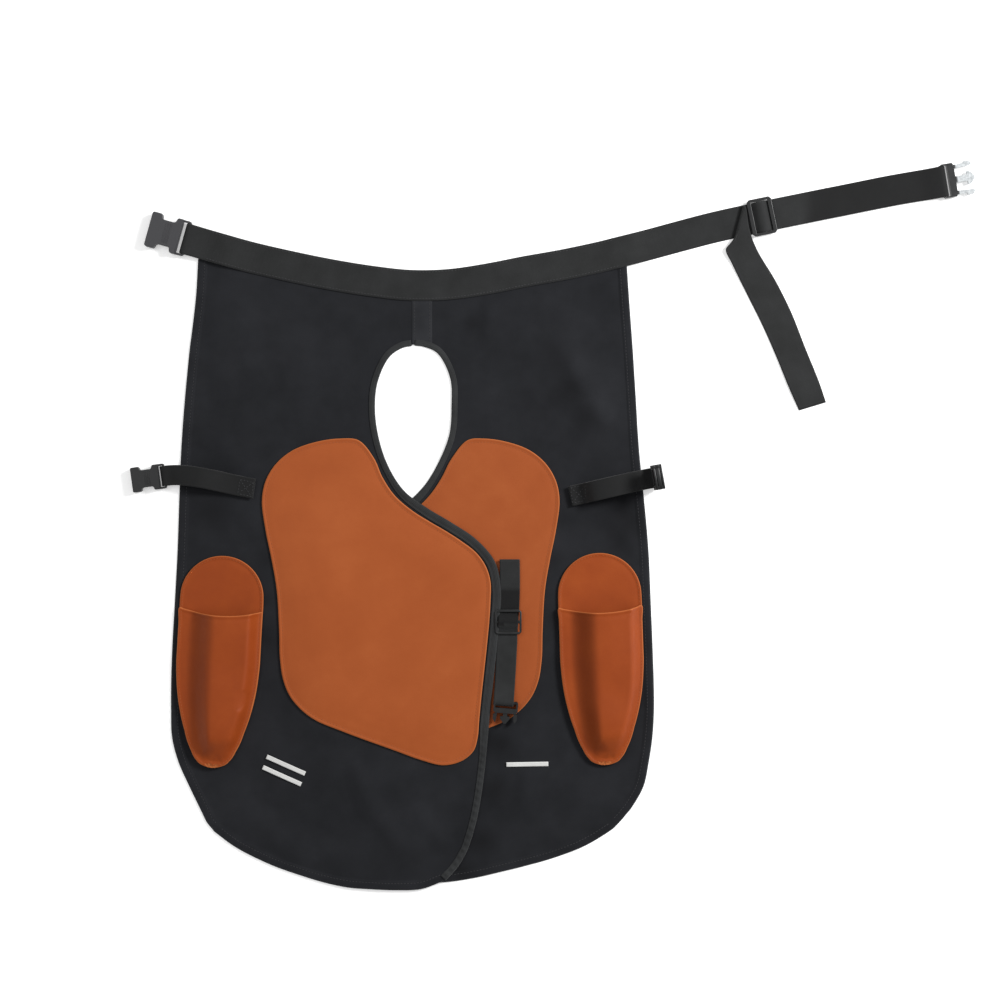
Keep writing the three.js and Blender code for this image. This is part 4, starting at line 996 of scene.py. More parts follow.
def pocket_outline(node, way):
    """Outline of a pocket part with the blunt foot of the real pocket, and its directions."""
    corners = outline_of(PLATES[way])[:, :2]
    centre = corners.mean(0)
    spread = np.linalg.eigh(np.cov((corners - centre).T))[1]
    down = spread[:, 1] if spread[1, 1] < 0 else -spread[:, 1]
    across = np.array([-down[1], down[0]])
    turned = np.stack([across, down], 1)
    local = (smooth_line(outline_of(node)[:, :2], 260, closed=True) - centre) @ turned
    local_corners = (corners - centre) @ turned
    tip = local_corners[:, 1].max()
    middle = np.median(local_corners[:, 0])
    local[:, 0] = middle + (local[:, 0] - middle) * np.interp(tip - local[:, 1], FOOT_HEIGHTS, FOOT_WIDTHS)
    centre = centre + np.array(POCKET_SHIFT[way])
    return local @ turned.T + centre, centre, turned


def pocket_plate(node, way, name):
    """The flat back of a pocket."""
    outline, _, _ = pocket_outline(node, way)
    vertices, faces, distance = cut_shape(outline, 2.0 * MM, 4.5 * MM)
    x, y = vertices[:, 0], vertices[:, 1]
    bottom = height_map(node, from_below=True)(x, y)
    top = bottom + np.minimum(rim_profile(distance, 0.0), height_map(node)(x, y) - bottom + 0.35 * MM)
    plate = leather_piece(name, vertices, faces, top, bottom, distance, pocket_leather, "leather")
    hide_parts(node)
    print(name, "points", len(vertices))
    return plate


left_plate = pocket_plate("pocket_back_left", -1, "pocket_plate_left")
right_plate = pocket_plate("pocket_back_right", 1, "pocket_plate_right")

# %% [markdown]
# The front stands off the plate like half a bag, open at the top. It could be sculpted, but then its two
# sides would have to be made alike by eye. So it is worked out in the pocket's own directions, across it
# and down it, and one function serves both pockets although they lean opposite ways. Its height is a dome
# that starts at the flange seam, and a long dent of worn leather is pressed into it.

# %% Pocket fronts
POUCH_RISE = 19 * MM
SOLE_REACH = 42 * MM
# Painted shade in the pocket's valley: where across it lies, how far it spreads, and how dark it is.
VALLEY_SHADE_PLACE, VALLEY_SHADE_SPREAD, VALLEY_SHADE_DEPTH = 0.29, 0.13, 0.33


def seam_sides(seam, down):
    """Places of the left and right seam across the pocket, at each distance down it."""
    foot = seam[:, 1].argmax()
    halves = sorted((seam[:foot + 1], seam[foot:]), key=lambda half: half[:, 0].mean())
    edges_at = []
    for half in halves:
        order = half[:, 1].argsort()
        edges_at.append(np.interp(down, half[order, 1], half[order, 0]))
    return edges_at


def pocket_front(node, way, name, dents):
    """The bulged front of a pocket, pressed in at each dent."""
    outline, centre, turned = pocket_outline(node, way)
    local = (outline - centre) @ turned
    corners = [np.argmin(local[:, 1] + side * 0.6 * local[:, 0]) for side in (1, -1)]
    vertices, faces, distance = cut_shape(outline, 1.8 * MM, 3.0 * MM)
    x, y = vertices[:, 0], vertices[:, 1]
    a, d = ((vertices - centre) @ turned).T
    first, last = sorted(corners)
    runs = (outline[first:last + 1], np.vstack([outline[last:], outline[:first + 1]]))
    seam_line = smooth_line(max(runs, key=len), 400)
    from_seam, _, _ = from_line(vertices, seam_line)
    seam_local = (seam_line - centre) @ turned
    left_x, right_x = seam_sides(seam_local, d)
    share = np.clip((a - left_x) / np.maximum(right_x - left_x, 1e-6), 0, 1)
    narrowing = smoothstep(0, 0.8, (right_x - left_x) / (right_x - left_x).max())
    step_up = smoothstep(0.13, 0.46, share) * (1 - 0.10 * smoothstep(0.55, 0.9, share))
    fall = 1 - smoothstep(0.84, 1.03, share)
    sole = smoothstep(0, SOLE_REACH, np.clip(seam_local[:, 1].max() - d, 0, None))
    rise = POUCH_RISE * step_up * fall * narrowing * sole ** 0.7
    rise *= smoothstep(0.5 * MM, 16 * MM, from_seam) ** 0.7
    for row, column, width, depth in dents:
        place_x, place_y = on_apron(column, row)
        dent = depth * np.exp(-(((x - place_x) ** 2 + (y - place_y) ** 2) / width ** 2))
        rise -= dent * smoothstep(2 * MM, 12 * MM, from_seam)
    plate = height_map(node, from_below=True, blur=6)
    bottom = float(np.median(plate(x, y)[(from_seam < 3 * MM)])) + np.maximum(rise, 0)
    top = bottom + rim_profile(distance, 0.0)
    front = leather_piece(name, vertices, faces, top, bottom, distance, pocket_leather, "leather", 0.9 * MM)
    # Painted shade: darker leather in the valley beside the bulge, where it lies in shade.
    painted_hollow_shade = VALLEY_SHADE_DEPTH * np.exp(-(((share - VALLEY_SHADE_PLACE) / VALLEY_SHADE_SPREAD) ** 2))
    painted_hollow_shade *= smoothstep(2 * MM, 20 * MM, from_seam)
    point_attribute(front, "painted_shade", np.concatenate([painted_hollow_shade, painted_hollow_shade]))
    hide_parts(node)
    print(name, "points", len(vertices), "height", round(float(top.max()) * 1000, 1), "mm")
    return front


left_front = pocket_front("pocket_pouch_left", -1, "pocket_front_left", [(665, 228, 24 * MM, 1.6 * MM)])
right_front = pocket_front("pocket_pouch_right", 1, "pocket_front_right", [(690, 612, 24 * MM, 1.6 * MM)])

# %% [markdown]
# Webbing is woven flat and keeps its width, so a strap is a ribbon that follows its middle line. The frame
# holds each strap as a row of four-cornered sections. The sections are read in order from the strap's
# end, and each gives one place for the left edge of the ribbon and one for the right. The courses could be
# drawn again as curves, but this way no strap can leave its measured place by mistake.

# %% Read a strap's course from the frame
def sections_from(first, total):
    """Neighbouring rings of four corners, outward from a first one, if that reaches every corner."""
    seen, rings = set(first), [sorted(first, key=lambda vert: vert.index)]
    while len(seen) < total:
        ring = {edge.other_vert(vert) for vert in rings[-1] for edge in vert.link_edges} - seen
        if len(ring) != 4:
            return None
        seen.update(ring)
        rings.append(sorted(ring, key=lambda vert: vert.index))
    return rings


def strap_course(node, near_end):
    """Left and right edge lines of a ribbon solid, from the end nearest to a given place."""
    solid = welded(node)
    ends = []
    for edge in solid.edges:
        if len(edge.link_faces) == 2 and edge.link_faces[0].normal.dot(edge.link_faces[1].normal) > 0.99:
            rings = sections_from({vert for face in edge.link_faces for vert in face.verts}, len(solid.verts))
            if rings:
                ends.append(rings)
    rings = min(ends, key=lambda trial: (trial[0][0].co - Vector(near_end)).length)
    course = []
    for ring in rings:
        pairs = min(
            ([(0, 1), (2, 3)], [(0, 2), (1, 3)], [(0, 3), (1, 2)]),
            key=lambda trial: sum((ring[a].co - ring[b].co).length for a, b in trial),
        )
        middles = [np.array((ring[a].co + ring[b].co) / 2) for a, b in pairs]
        if course:
            straight = sum(np.linalg.norm(new - old) for new, old in zip(middles, course[-1]))
            crossed = sum(np.linalg.norm(new - old) for new, old in zip(middles[::-1], course[-1]))
            middles = middles[::-1] if crossed < straight else middles
        course.append(middles)
    solid.free()
    return np.array(course)


courses = {
    "waist_belt": strap_course("waist_belt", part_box("waist_belt")[0]),
    "leg_strap_outer_left": strap_course("leg_strap_outer_left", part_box("leg_strap_outer_left")[1]),
    "leg_strap_outer_right": strap_course("leg_strap_outer_right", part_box("leg_strap_outer_right")[0]),
    "leg_strap_inner": strap_course("leg_strap_inner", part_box("leg_strap_inner")[0]),
}
# The inner strap lies a little further under the body than in the frame, and furthest at its top.
TUCKED_UNDER = 4.4 * MM
TUCK_AT_FOOT, TUCK_GROWS = 0.72, 0.28
inner_course = courses["leg_strap_inner"]
tuck = TUCK_AT_FOOT + TUCK_GROWS * smoothstep(row_y(700), row_y(640), inner_course[..., 1])
inner_course[..., 0] -= TUCKED_UNDER * tuck
for name, course in courses.items():
    print(name, "sections", len(course), "length", round(float(length_of(course.mean(1))), 3))

# %% [markdown]
# A flat strip with a woven picture would look like paper at its edges. So the ribbon is swept with a real
# section: flat faces, a slightly thicker selvedge at each edge, and fine lengthwise ribs. The leg straps,
# the belt past its slider and the inner strap's fold are darker in the photograph than the rest.

# %% Weave a strap
WEBBING = 1.6 * MM
OUTER_SHADE, BELT_SHADE, INNER_SHADE = 0.65, 0.75, 1.0
BELT_SHADE_COLUMNS, BELT_SHADE_ROW = (800, 815), 235
INNER_SHADE_ROWS, INNER_SHADE_FOOT = (587, 591), 624
EDGE_FINE = 0.35


def shade_of(name, points):
    """How much darker the webbing is at each point, from 0 to 1."""
    x, y = points[:, 0], points[:, 1]
    if name.startswith("outer"):
        return np.full(len(points), OUTER_SHADE)
    if name.startswith("belt"):
        past_slider = smoothstep(column_x(BELT_SHADE_COLUMNS[0]), column_x(BELT_SHADE_COLUMNS[1]), x)
        return BELT_SHADE * past_slider * (y > row_y(BELT_SHADE_ROW))
    if not name.startswith("inner"):
        return np.zeros(len(points))
    # Painted shadow: the inner strap's run below its fold lies in shade, so its colour is darkened there.
    below_fold = smoothstep(row_y(INNER_SHADE_ROWS[0]), row_y(INNER_SHADE_ROWS[1]), y)
    return INNER_SHADE * below_fold * (y > row_y(INNER_SHADE_FOOT))


def ribbon(name, course, step, thickness, material, slot, columns=24, rib=2.6 * MM, rib_depth=0.03 * MM):
    """A woven band along a course of left and right edge places."""
    length = length_of(course.mean(1))
    count = max(int(length / step), 12)
    both = smooth_line(np.hstack([course[:, 0], course[:, 1]]), count)
    left, right = both[:, :3], both[:, 3:]
    middle = (left + right) / 2
    ahead = np.gradient(middle, axis=0)
    ahead /= np.linalg.norm(ahead, axis=1)[:, None]
    over = right - left
    width = np.linalg.norm(over, axis=1)
    over /= width[:, None]
    normal = np.cross(over, ahead)
    normal /= np.linalg.norm(normal, axis=1)[:, None]
    fine_edges = (1 - np.cos(np.linspace(0, math.pi, columns))) / 2
    share = fine_edges * EDGE_FINE + np.linspace(0, 1, columns) * (1 - EDGE_FINE)
    place = places_along(middle)
    across = share[None, :] * width[:, None]
    from_edge = np.minimum(across, width[:, None] - across)
    rounded = np.sqrt(np.clip(1 - (1 - np.clip(from_edge / (0.9 * MM), 0, 1)) ** 2, 0.04, 1))
    selvedge = 0.12 * MM * np.exp(-(((from_edge - 1.4 * MM) / (1.0 * MM)) ** 2))
    ribs = rib_depth * np.cos(2 * np.pi * across / rib)
    half = (thickness / 2 - rib_depth) * rounded + (selvedge + ribs) * rounded
    centre = left[:, None] + over[:, None] * across[..., None]
    top = centre + normal[:, None] * half[..., None]
    foot = centre - normal[:, None] * half[..., None]
    for face in (top, foot):
        face[..., 2] = np.maximum(face[..., 2], OFF_FLOOR)
    vertices, faces = closed_sheet(top, foot)
    band = piece_from(name, vertices, faces[:, ::-1], material, slot)
    point_attribute(band, "shaded", shade_of(name, np.array(vertices)))
    along = np.repeat(place[:, None], columns, 1)
    band_uv(band, np.concatenate([across.ravel()] * 2), np.concatenate([along.ravel()] * 2))
    print(name, "rows", count, "length", round(float(length), 3), "width", round(float(width.mean()), 4))
    return band, float(length), float(width.mean())


straps = {}
for node, title in (
    ("waist_belt", "belt_webbing"),
    ("leg_strap_outer_left", "outer_leg_webbing_left"),
    ("leg_strap_outer_right", "outer_leg_webbing_right"),
    ("leg_strap_inner", "inner_leg_webbing"),
):
    band, length, width = ribbon(title, courses[node], 3.0 * MM, WEBBING, webbing, "webbing")
    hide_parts(node)
    straps[title] = (band, length, width)

# %% [markdown]
# The belt's plug, the belt's slider and the inner strap's plug keep the frame's own solids, whose shape is
# already right; to model them again would only risk their fit. A small bevel rounds their edges as a mould
# does. The prongs of the belt's plug are black plastic like its bar, but a painted highlight makes them
# pale past the bar, and the whole plug is a little shinier, so its finish changes along the plug.

# %% Plug and slider
def prong_highlight_finish(name, dark, pale, start, way, blend):
    """Dark plastic with a painted highlight that turns it pale past a plane through a start point."""
    plastic = Finish(name, roughness=0.3, specular=0.6)
    from_start = plastic.node(
        "ShaderNodeVectorMath", {0: plastic.place, 1: tuple(start)}, operation="SUBTRACT").outputs["Vector"]
    along = plastic.node(
        "ShaderNodeVectorMath", {0: from_start, 1: tuple(way)}, operation="DOT_PRODUCT").outputs["Value"]
    past = plastic.math("DIVIDE", along, blend, clamp=True)
    cloud = plastic.ramp(plastic.noise(260, 3), (0.35, 0.0), (0.65, 1.0))
    body = plastic.mix(plastic.math("MULTIPLY", cloud, 0.4), dark, linear(40, 41, 43))
    # Painted highlight: the prongs are made pale, as light on glossy black plastic would show them.
    prong = plastic.mix(plastic.math("MULTIPLY", cloud, 0.6), pale, linear(120, 124, 126))
    plastic.link(plastic.mix(past, body, prong), "Base Color")
    plastic.link(plastic.bump(plastic.noise(2200, 2), 0.2, 0.05 * MM), "Normal")
    return plastic.material


PLUG_TURN = math.radians(9)
plug_low, plug_high = (np.array(corner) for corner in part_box("belt_plug_buckle"))
plug_way = np.array([math.cos(PLUG_TURN), math.sin(PLUG_TURN), 0.0])
plug_start = (plug_low + plug_high) / 2 - plug_way * 1.5 * MM
prong_highlight_plastic = prong_highlight_finish(
    "prong_painted_highlight_plastic", linear(14, 15, 16), linear(196, 200, 202), plug_start, plug_way, blend=2.0 * MM)
MOULDED = {"belt_plug_buckle": prong_highlight_plastic, "belt_slider": black_plastic, "leg_plug_inner": black_plastic}
for node, finish in MOULDED.items():
    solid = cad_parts[node]
    solid.data.materials.clear()
    solid.data.materials.append(finish)
    weld = solid.modifiers.new("weld", "WELD")
    weld.merge_threshold = 0.02 * MM
    bevel = solid.modifiers.new("moulded edges", "BEVEL")
    bevel.width = 0.7 * MM
    bevel.segments = 3
    bevel.limit_method = "ANGLE"
    bevel.angle_limit = math.radians(30)
print("moulded parts:", len(MOULDED))

# %% [markdown]
# A socket buckle is a hollow body with a waist for the fingers, a slot, and a bar that the strap goes
# round. It could be cut from one block with booleans, but those leave ragged faces at rounded edges. So it
# is built in layers: a floor, two side walls, a roof with grip ribs, and a frame that carries the bar.
# Each layer is a filled curve with rounded edges, turned into a mesh.

# %% Moulded layers
def moulded_layer(loops, low, high, rounding):
    """Points and faces of a flat layer with holes and rounded edges."""
    curve = bpy.data.curves.new("layer", "CURVE")
    curve.dimensions, curve.fill_mode = "2D", "BOTH"
    curve.extrude = (high - low) / 2 - rounding
    curve.bevel_depth, curve.bevel_resolution, curve.offset = rounding, 1, -rounding
    for loop in loops:
        spline = curve.splines.new("POLY")
        spline.points.add(len(loop) - 1)
        for point, (u, v) in zip(spline.points, loop):
            point.co = (u, v, 0, 1)
        spline.use_cyclic_u = True
    holder = bpy.data.objects.new("layer", curve)
    bpy.context.scene.collection.objects.link(holder)
    mesh = bpy.data.meshes.new_from_object(holder.evaluated_get(bpy.context.evaluated_depsgraph_get()))
    points = np.array([v.co[:] for v in mesh.vertices]) + [0, 0, (low + high) / 2]
    faces = [tuple(p.vertices) for p in mesh.polygons]
    bpy.data.objects.remove(holder)
    bpy.data.curves.remove(curve)
    bpy.data.meshes.remove(mesh)
    return points, faces


def moulded_piece(name, layers, origin, axes, material, slot):
    """One piece from several layers, set in its place by an origin and three directions."""
    vertices, faces = [], []
    for points, layer_faces in layers:
        first = len(vertices)
        vertices.extend(origin + points @ axes)
        faces.extend(tuple(index + first for index in face) for face in layer_faces)
    piece = piece_from(name, vertices, faces, material, slot)
    piece.data.set_sharp_from_angle(angle=math.radians(38))
    return piece


NEAR_BUCKLE = 22 * MM


def buckle_axes(node, course):
    """Middle of a buckle, its directions outward, across and up, and its reach along each."""
    corners = np.array([v.co[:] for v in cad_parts[node].data.vertices])
    centre = (corners.min(0) + corners.max(0)) / 2
    gaps = np.linalg.norm(course.mean(1) - centre, axis=1)
    course = course[gaps < gaps.min() + NEAR_BUCKLE]
    nearest = np.linalg.norm(course.mean(1) - centre, axis=1).argmin()
    across = course[nearest, 1] - course[nearest, 0]
    across /= np.linalg.norm(across)
    flat = (corners - centre) - np.outer((corners - centre) @ across, across)
    spread = np.linalg.svd(flat, full_matrices=False)[2]
    outward = spread[0]
    away = centre - course.mean(1).mean(0)
    if abs(outward[2]) > 0.7:
        outward = outward * np.sign(outward[2])
    elif outward @ away < 0:
        outward = -outward
    up = np.cross(outward, across)
    if up[2] < 0 and abs(outward[2]) < 0.7:
        up, across = -up, -across
    axes = np.stack([outward, across, up])
    local = (corners - centre) @ axes.T
    return centre, axes, local.min(0), local.max(0), ((course.mean(1) - centre) @ outward).max()


# Shares of the socket's length, and how wide it is there: 1 is its full half width.
SOCKET_OUTLINE = (
    (0.0, 0.90), (0.03, 0.98), (0.07, 1.0), (0.33, 1.0), (0.36, 0.95), (0.385, 0.76), (0.42, 0.70),
    (0.69, 0.70), (0.725, 0.76), (0.75, 0.95), (0.78, 1.0), (0.95, 1.0), (0.985, 0.97), (1.0, 0.9),
)


PLASTICS = {"black_plastic": black_plastic, "grey_plastic": grey_plastic}
GRIP_RIBS = (0.47, 0.53, 0.59)
WALL = 2.6 * MM


def socket_buckle(node, name, course, strap_half, see_through, slot):
    """A socket over its frame solid; see_through is how much of the slot shows beside the strap."""
    origin, axes, low, high, fold = buckle_axes(node, course)
    length, half = high[0] - low[0], (high[1] - low[1]) / 2
    middle = (low[1] + high[1]) / 2
    wrap = min(fold + 0.9 * MM, low[0] + 0.3 * length)
    opening = wrap + see_through
    thickness = high[2] - low[2]

    places = [(low[0] + share * length, width * half) for share, width in SOCKET_OUTLINE]

    def outline(start):
        kept = [(u, v) for u, v in places if u > start + 0.2 * MM]
        kept = [(start, np.interp(start, *zip(*places)))] + kept
        return [(u, middle + v) for u, v in kept] + [(u, middle - v) for u, v in kept[::-1]]

    def block(u0, u1, v):
        return [(u0, middle - v), (u1, middle - v), (u1, middle + v), (u0, middle + v)]

    bar_edge = max(wrap - 4.2 * MM, low[0] + 2.4 * MM)
    slot_hole = block(bar_edge, opening, strap_half)
    cavity_start = opening + 5 * MM
    shell = 0.24 * thickness
    level = (low[2] + high[2]) / 2
    waist = 0.74 * half - WALL
    core = outline(opening)
    back_wall = block(opening + 0.8 * MM, cavity_start, 0.9 * half)
    layers = [
        moulded_layer([outline(low[0]), slot_hole], level - 2.3 * MM, level + 2.3 * MM, 0.7 * MM),
        moulded_layer([core], low[2], low[2] + shell, 0.6 * MM),
        moulded_layer([core], high[2] - shell, high[2], 0.8 * MM),
        moulded_layer([back_wall], low[2] + 0.5 * MM, high[2] - 0.5 * MM, 0.4 * MM),
    ]
    strip = [(u, v - 0.5 * MM) for u, v in places if u > opening]
    for side in (-1, 1):
        outside = [(u, middle + side * v) for u, v in strip]
        inside = [(u, middle + side * (v - WALL)) for u, v in strip[::-1]]
        layers.append(moulded_layer([outside + inside], low[2] + 0.6 * MM, high[2] - 0.6 * MM, 0.3 * MM))
    for share in GRIP_RIBS:
        u = low[0] + share * length
        rib = block(u - 0.7 * MM, u + 0.7 * MM, waist * 0.9)
        layers.append(moulded_layer([rib], high[2] - 0.6 * MM, high[2] + 0.5 * MM, 0.4 * MM))
    piece = moulded_piece(name, layers, origin, axes, PLASTICS[slot], slot)
    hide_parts(node)
    print(name, "length", round(float(length), 4), "width", round(float(2 * half), 4))


BELT_HALF, BELT_GAP = 19.3 * MM, 4.0 * MM
LEG_HALF, LEG_GAP = 12.9 * MM, 1.2 * MM
for node, name, strap, strap_half, see_through, slot in (
    ("belt_socket_buckle", "belt_socket", "waist_belt", BELT_HALF, BELT_GAP, "grey_plastic"),
    ("leg_buckle_outer_left", "leg_socket_left", "leg_strap_outer_left", LEG_HALF, LEG_GAP, "black_plastic"),
    ("leg_buckle_outer_right", "leg_socket_right", "leg_strap_outer_right", LEG_HALF, LEG_GAP, "black_plastic"),
):
    socket_buckle(node, name, courses[strap], strap_half, see_through, slot)

# %% [markdown]
# The slider on the inner leg strap is a small ladder: a frame with two slots and a bar between them. It is
# moulded like the sockets, rather than kept from the frame, because its slots have to sit over the strap
# where the scene lays it, a little further under the body.

# %% Inner slider
SLIDER_TUCK = 4.2 * MM


def ladder_slider(node, name, shift):
    """A flat slider with two slots, moved across the apron by a shift."""
    low, high = (np.array(corner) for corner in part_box(node))
    centre = (low + high) / 2 + [shift, 0, 0]
    half_wide, half_long = (high[0] - low[0]) / 2, (high[1] - low[1]) / 2
    thick = max((high[2] - low[2]) / 2, 1.0 * MM)
    bar, slot_half = 2.0 * MM, half_wide - 2.6 * MM
    corner = 3 * MM
    frame_loop = [
        (-half_wide + corner, -half_long), (half_wide - corner, -half_long), (half_wide, -half_long + corner),
        (half_wide, half_long - corner), (half_wide - corner, half_long), (-half_wide + corner, half_long),
        (-half_wide, half_long - corner), (-half_wide, -half_long + corner),
    ]
    holes = []
    for side in (-1, 1):
        inner, outer = side * bar, side * (half_long - 3.2 * MM)
        holes.append([(-slot_half, inner), (slot_half, inner), (slot_half, outer), (-slot_half, outer)])
    layers = [moulded_layer([frame_loop] + holes, -thick, thick, 0.8 * MM)]
    piece = moulded_piece(name, layers, centre, np.eye(3), black_plastic, "black_plastic")
    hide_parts(node)
    print(name, "size", round(float(2 * half_wide), 4), round(float(2 * half_long), 4))


ladder_slider("leg_slider_inner", "inner_leg_slider", -SLIDER_TUCK)

# %% [markdown]
# Thread holds all of it together. A seam could be a dashed line in the colour, but then it would lie flat
# in every light. Here a stitch is a short capsule that sinks into the cloth at both ends. A row of
# stitches is laid along a line in plan, and each one is dropped on the pieces below it by a ray.

# %% Sew a row of stitches
# The five rings of a stitch: how far along it, how thick, and how high over the cloth, in thread radii.
STITCH_RINGS = ((0.0, 0.25, -0.9), (0.18, 0.9, 0.1), (0.5, 1.0, 0.45), (0.82, 0.9, 0.1), (1.0, 0.25, -0.9))
STEEPEST_STITCH = 2 * MM
PATCH_SEAM, PATCH_THREAD = 4.6 * MM, 0.3 * MM
POCKET_SEAM, POCKET_THREAD = 3.0 * MM, 0.28 * MM


def thread_finish(name, colour, lit):
    thread = Finish(name, roughness=0.7, sheen=0.1, specular=0.3)
    twist = thread.noise(2600, 2)
    thread.link(thread.mix(twist, colour, lit), "Base Color")
    thread.link(thread.bump(twist, 0.4, 0.1 * MM), "Normal")
    return thread.material


black_thread = thread_finish("black_thread", linear(24, 24, 26), linear(62, 62, 65))
tan_thread = thread_finish("tan_thread", linear(132, 62, 24), linear(176, 100, 52))


def top_of(pieces):
    """A function that gives the highest point of some pieces at a place in plan."""
    graph = bpy.context.evaluated_depsgraph_get()
    trees = [BVHTree.FromObject(piece, graph) for piece in pieces]

    def height(x, y):
        hits = [tree.ray_cast(Vector((x, y, 1.0)), Vector((0, 0, -1)))[0] for tree in trees]
        return max((hit.z for hit in hits if hit is not None), default=None)

    return height


def stitch_rows(name, lines, height, material, slot, length=2.9 * MM, gap=1.1 * MM, radius=0.38 * MM):
    """One piece that holds the stitches of several rows."""
    turns = np.linspace(0, 2 * np.pi, 7)[:-1]
    vertices, faces = [], []
    for line in lines:
        total = length_of(line)
        count = int(total / (length + gap))
        starts = np.arange(count) * (length + gap) / total
        ends = starts + length / total
        for start, end in zip(along_line(line, starts), along_line(line, ends)):
            levels = [height(*start), height(*end)]
            if None in levels or abs(levels[0] - levels[1]) > STEEPEST_STITCH:
                continue
            way = (end - start) / np.linalg.norm(end - start)
            side = np.array([-way[1], way[0]])
            first = len(vertices)
            for share, size, sink in STITCH_RINGS:
                centre = start + (end - start) * share
                level = levels[0] + (levels[1] - levels[0]) * share + sink * radius
                for turn in turns:
                    x, y = centre + side * math.cos(turn) * radius * size
                    vertices.append((x, y, level + math.sin(turn) * radius * size))
            for ring in range(4):
                for k in range(6):
                    a, b = first + ring * 6 + k, first + ring * 6 + (k + 1) % 6
                    faces.append((a, b, b + 6, a + 6))
            faces.append(tuple(first + k for k in range(5, -1, -1)))
            faces.append(tuple(first + 24 + k for k in range(6)))
    piece_from(name, vertices, faces, material, slot)
    print(name, "stitches", len(faces) // 26)


def inset_line(outline, depth):
    """A closed line inside an outline, at an even depth."""
    ring = smooth_line(outline, 700, closed=True)
    moved = ring + plan_normals(ring, closed=True) * depth
    return np.vstack([moved, moved[:1]])


def beside(line, depth, way):
    """A line beside another, mirrored with the side of the apron."""
    return line + plan_normals(line) * (depth if way > 0 else -depth)


for way, side, patch, plate, front, word in (
    (-1, left_side, left_patch, left_plate, left_front, "left"),
    (1, right_side, right_patch, right_plate, right_front, "right"),
):
    patch_ring = inset_line(outline_of(f"knee_patch_{word}")[:, :2], PATCH_SEAM)
    stitch_rows(f"knee_seam_{word}", [patch_ring], top_of([patch]), tan_thread, "leather", radius=PATCH_THREAD)
    pocket_ring = inset_line(pocket_outline(PLATES[way], way)[0], POCKET_SEAM)
    pocket_top = top_of([plate, front])
    stitch_rows(f"pocket_seam_{word}", [pocket_ring], pocket_top, tan_thread, "leather", radius=POCKET_THREAD)
    hem_rows = [
        beside(edges[way]["outer"][8:-4], -HEM_STITCH, way),
        beside(edges[way]["hem"][6:-6], HEM_STITCH, way),
    ]
    stitch_rows(f"hem_seam_{word}", hem_rows, top_of([side]), black_thread, "canvas")

print("seams sewn")

# %% [markdown]
# The two sides are joined above the keyhole by one short seam. Its allowance is folded to the right and
# shows as a narrow raised strip, topstitched on both sides. It could be pressed out of the right side's
# own sheet, but the net is too coarse there for its sharp edge, so it is a small sheet of its own.

# %% Centre seam
def centre_seam():
    """The raised strip of the folded allowance, with its two rows of stitches."""
    upper_end, lower_end = edges[1]["seam"][0], edges[1]["seam"][-1]
    rows = np.linspace(upper_end[1] - 2 * MM, lower_end[1] + 0.3 * MM, 24)
    offsets = np.array([-1.6, -1.2, -0.5, 0.6, 6.0, 12.0, 18.0, 22.6, 23.4, 23.8]) * MM
    lift = np.array([-0.3, 0.35, 0.75, 0.55, 0.45, 0.5, 0.55, 0.6, 0.35, -0.3]) * MM
    seam_x = (upper_end[0] + edges[-1]["seam"][0, 0]) / 2
    x, y = np.meshgrid(seam_x + offsets, rows)
    y = y - np.clip(x - seam_x, 0, None) * np.linspace(0, 0.12, len(rows))[:, None]
    upper_right = canvas_heights(np.maximum(x, upper_end[0]), y, 1)[1]
    top = np.dstack([x, y, upper_right + lift])
    foot = np.dstack([x, y, upper_right - 0.35 * MM + np.zeros_like(x)])
    vertices, faces = closed_sheet(top[:, ::-1], foot[:, ::-1])
    strip = piece_from("centre_seam_strip", vertices, faces, canvas, "canvas")
    # Painted highlight: the raised allowance is made paler, as light on its ridge would show it.
    point_attribute(strip, "wear_and_highlight", np.full(len(vertices), 0.35))
    down = np.linspace(rows[0], rows[-1], 40)
    lines = [np.column_stack([np.full(40, seam_x + across), down]) for across in (1.9 * MM, 20.6 * MM)]
    stitch_rows("centre_seam_thread", lines, top_of([strip]), black_thread, "canvas")
    print("centre seam from", round(float(rows[0]), 4), "to", round(float(rows[-1]), 4))


centre_seam()

# %% [markdown]
# The belt is sewn to the body along both its edges, and the two outer leg straps are each fastened with a
# stitched box. The corners of the boxes are given as places in the photograph, which is simpler than to
# work them out along each strap.

# %% Sew on the straps
BODY_COLUMNS = (200, 622)


def sewn_edges(band_course, x_from, x_to, inset):
    """Lines beside both edges of a strap's first pass between two places across the apron."""
    lines = []
    for one, other in ((0, 1), (1, 0)):
        edge, far = band_course[:, one], band_course[:, other]
        way = (far - edge)[:, :2]
        way = way / np.linalg.norm(way, axis=1)[:, None]
        line = edge[:, :2] + way * inset
        keep = np.flatnonzero((line[:, 0] > x_from) & (line[:, 0] < x_to))
        runs = np.split(keep, np.flatnonzero(np.diff(keep) > 1) + 1)
        lines.append(smooth_line(line[max(runs, key=len)], 500))
    return lines


belt_course = courses["waist_belt"]
belt_lines = sewn_edges(belt_course, column_x(BODY_COLUMNS[0]), column_x(BODY_COLUMNS[1]), 2.6 * MM)
stitch_rows("belt_seam", belt_lines, top_of([straps["belt_webbing"][0]]), black_thread, "webbing")


def box_of_stitches(corners, inset=2.4 * MM):
    """A square of stitches with its two diagonals, inside four corners."""
    corners = np.array(corners, float)
    middle = corners.mean(0)
    inner = corners + (middle - corners) / np.linalg.norm(middle - corners, axis=1)[:, None] * inset * 1.4
    pairs = [(0, 1), (1, 2), (2, 3), (3, 0), (0, 2), (1, 3)]
    return [np.linspace(inner[a], inner[b], 12) for a, b in pairs]


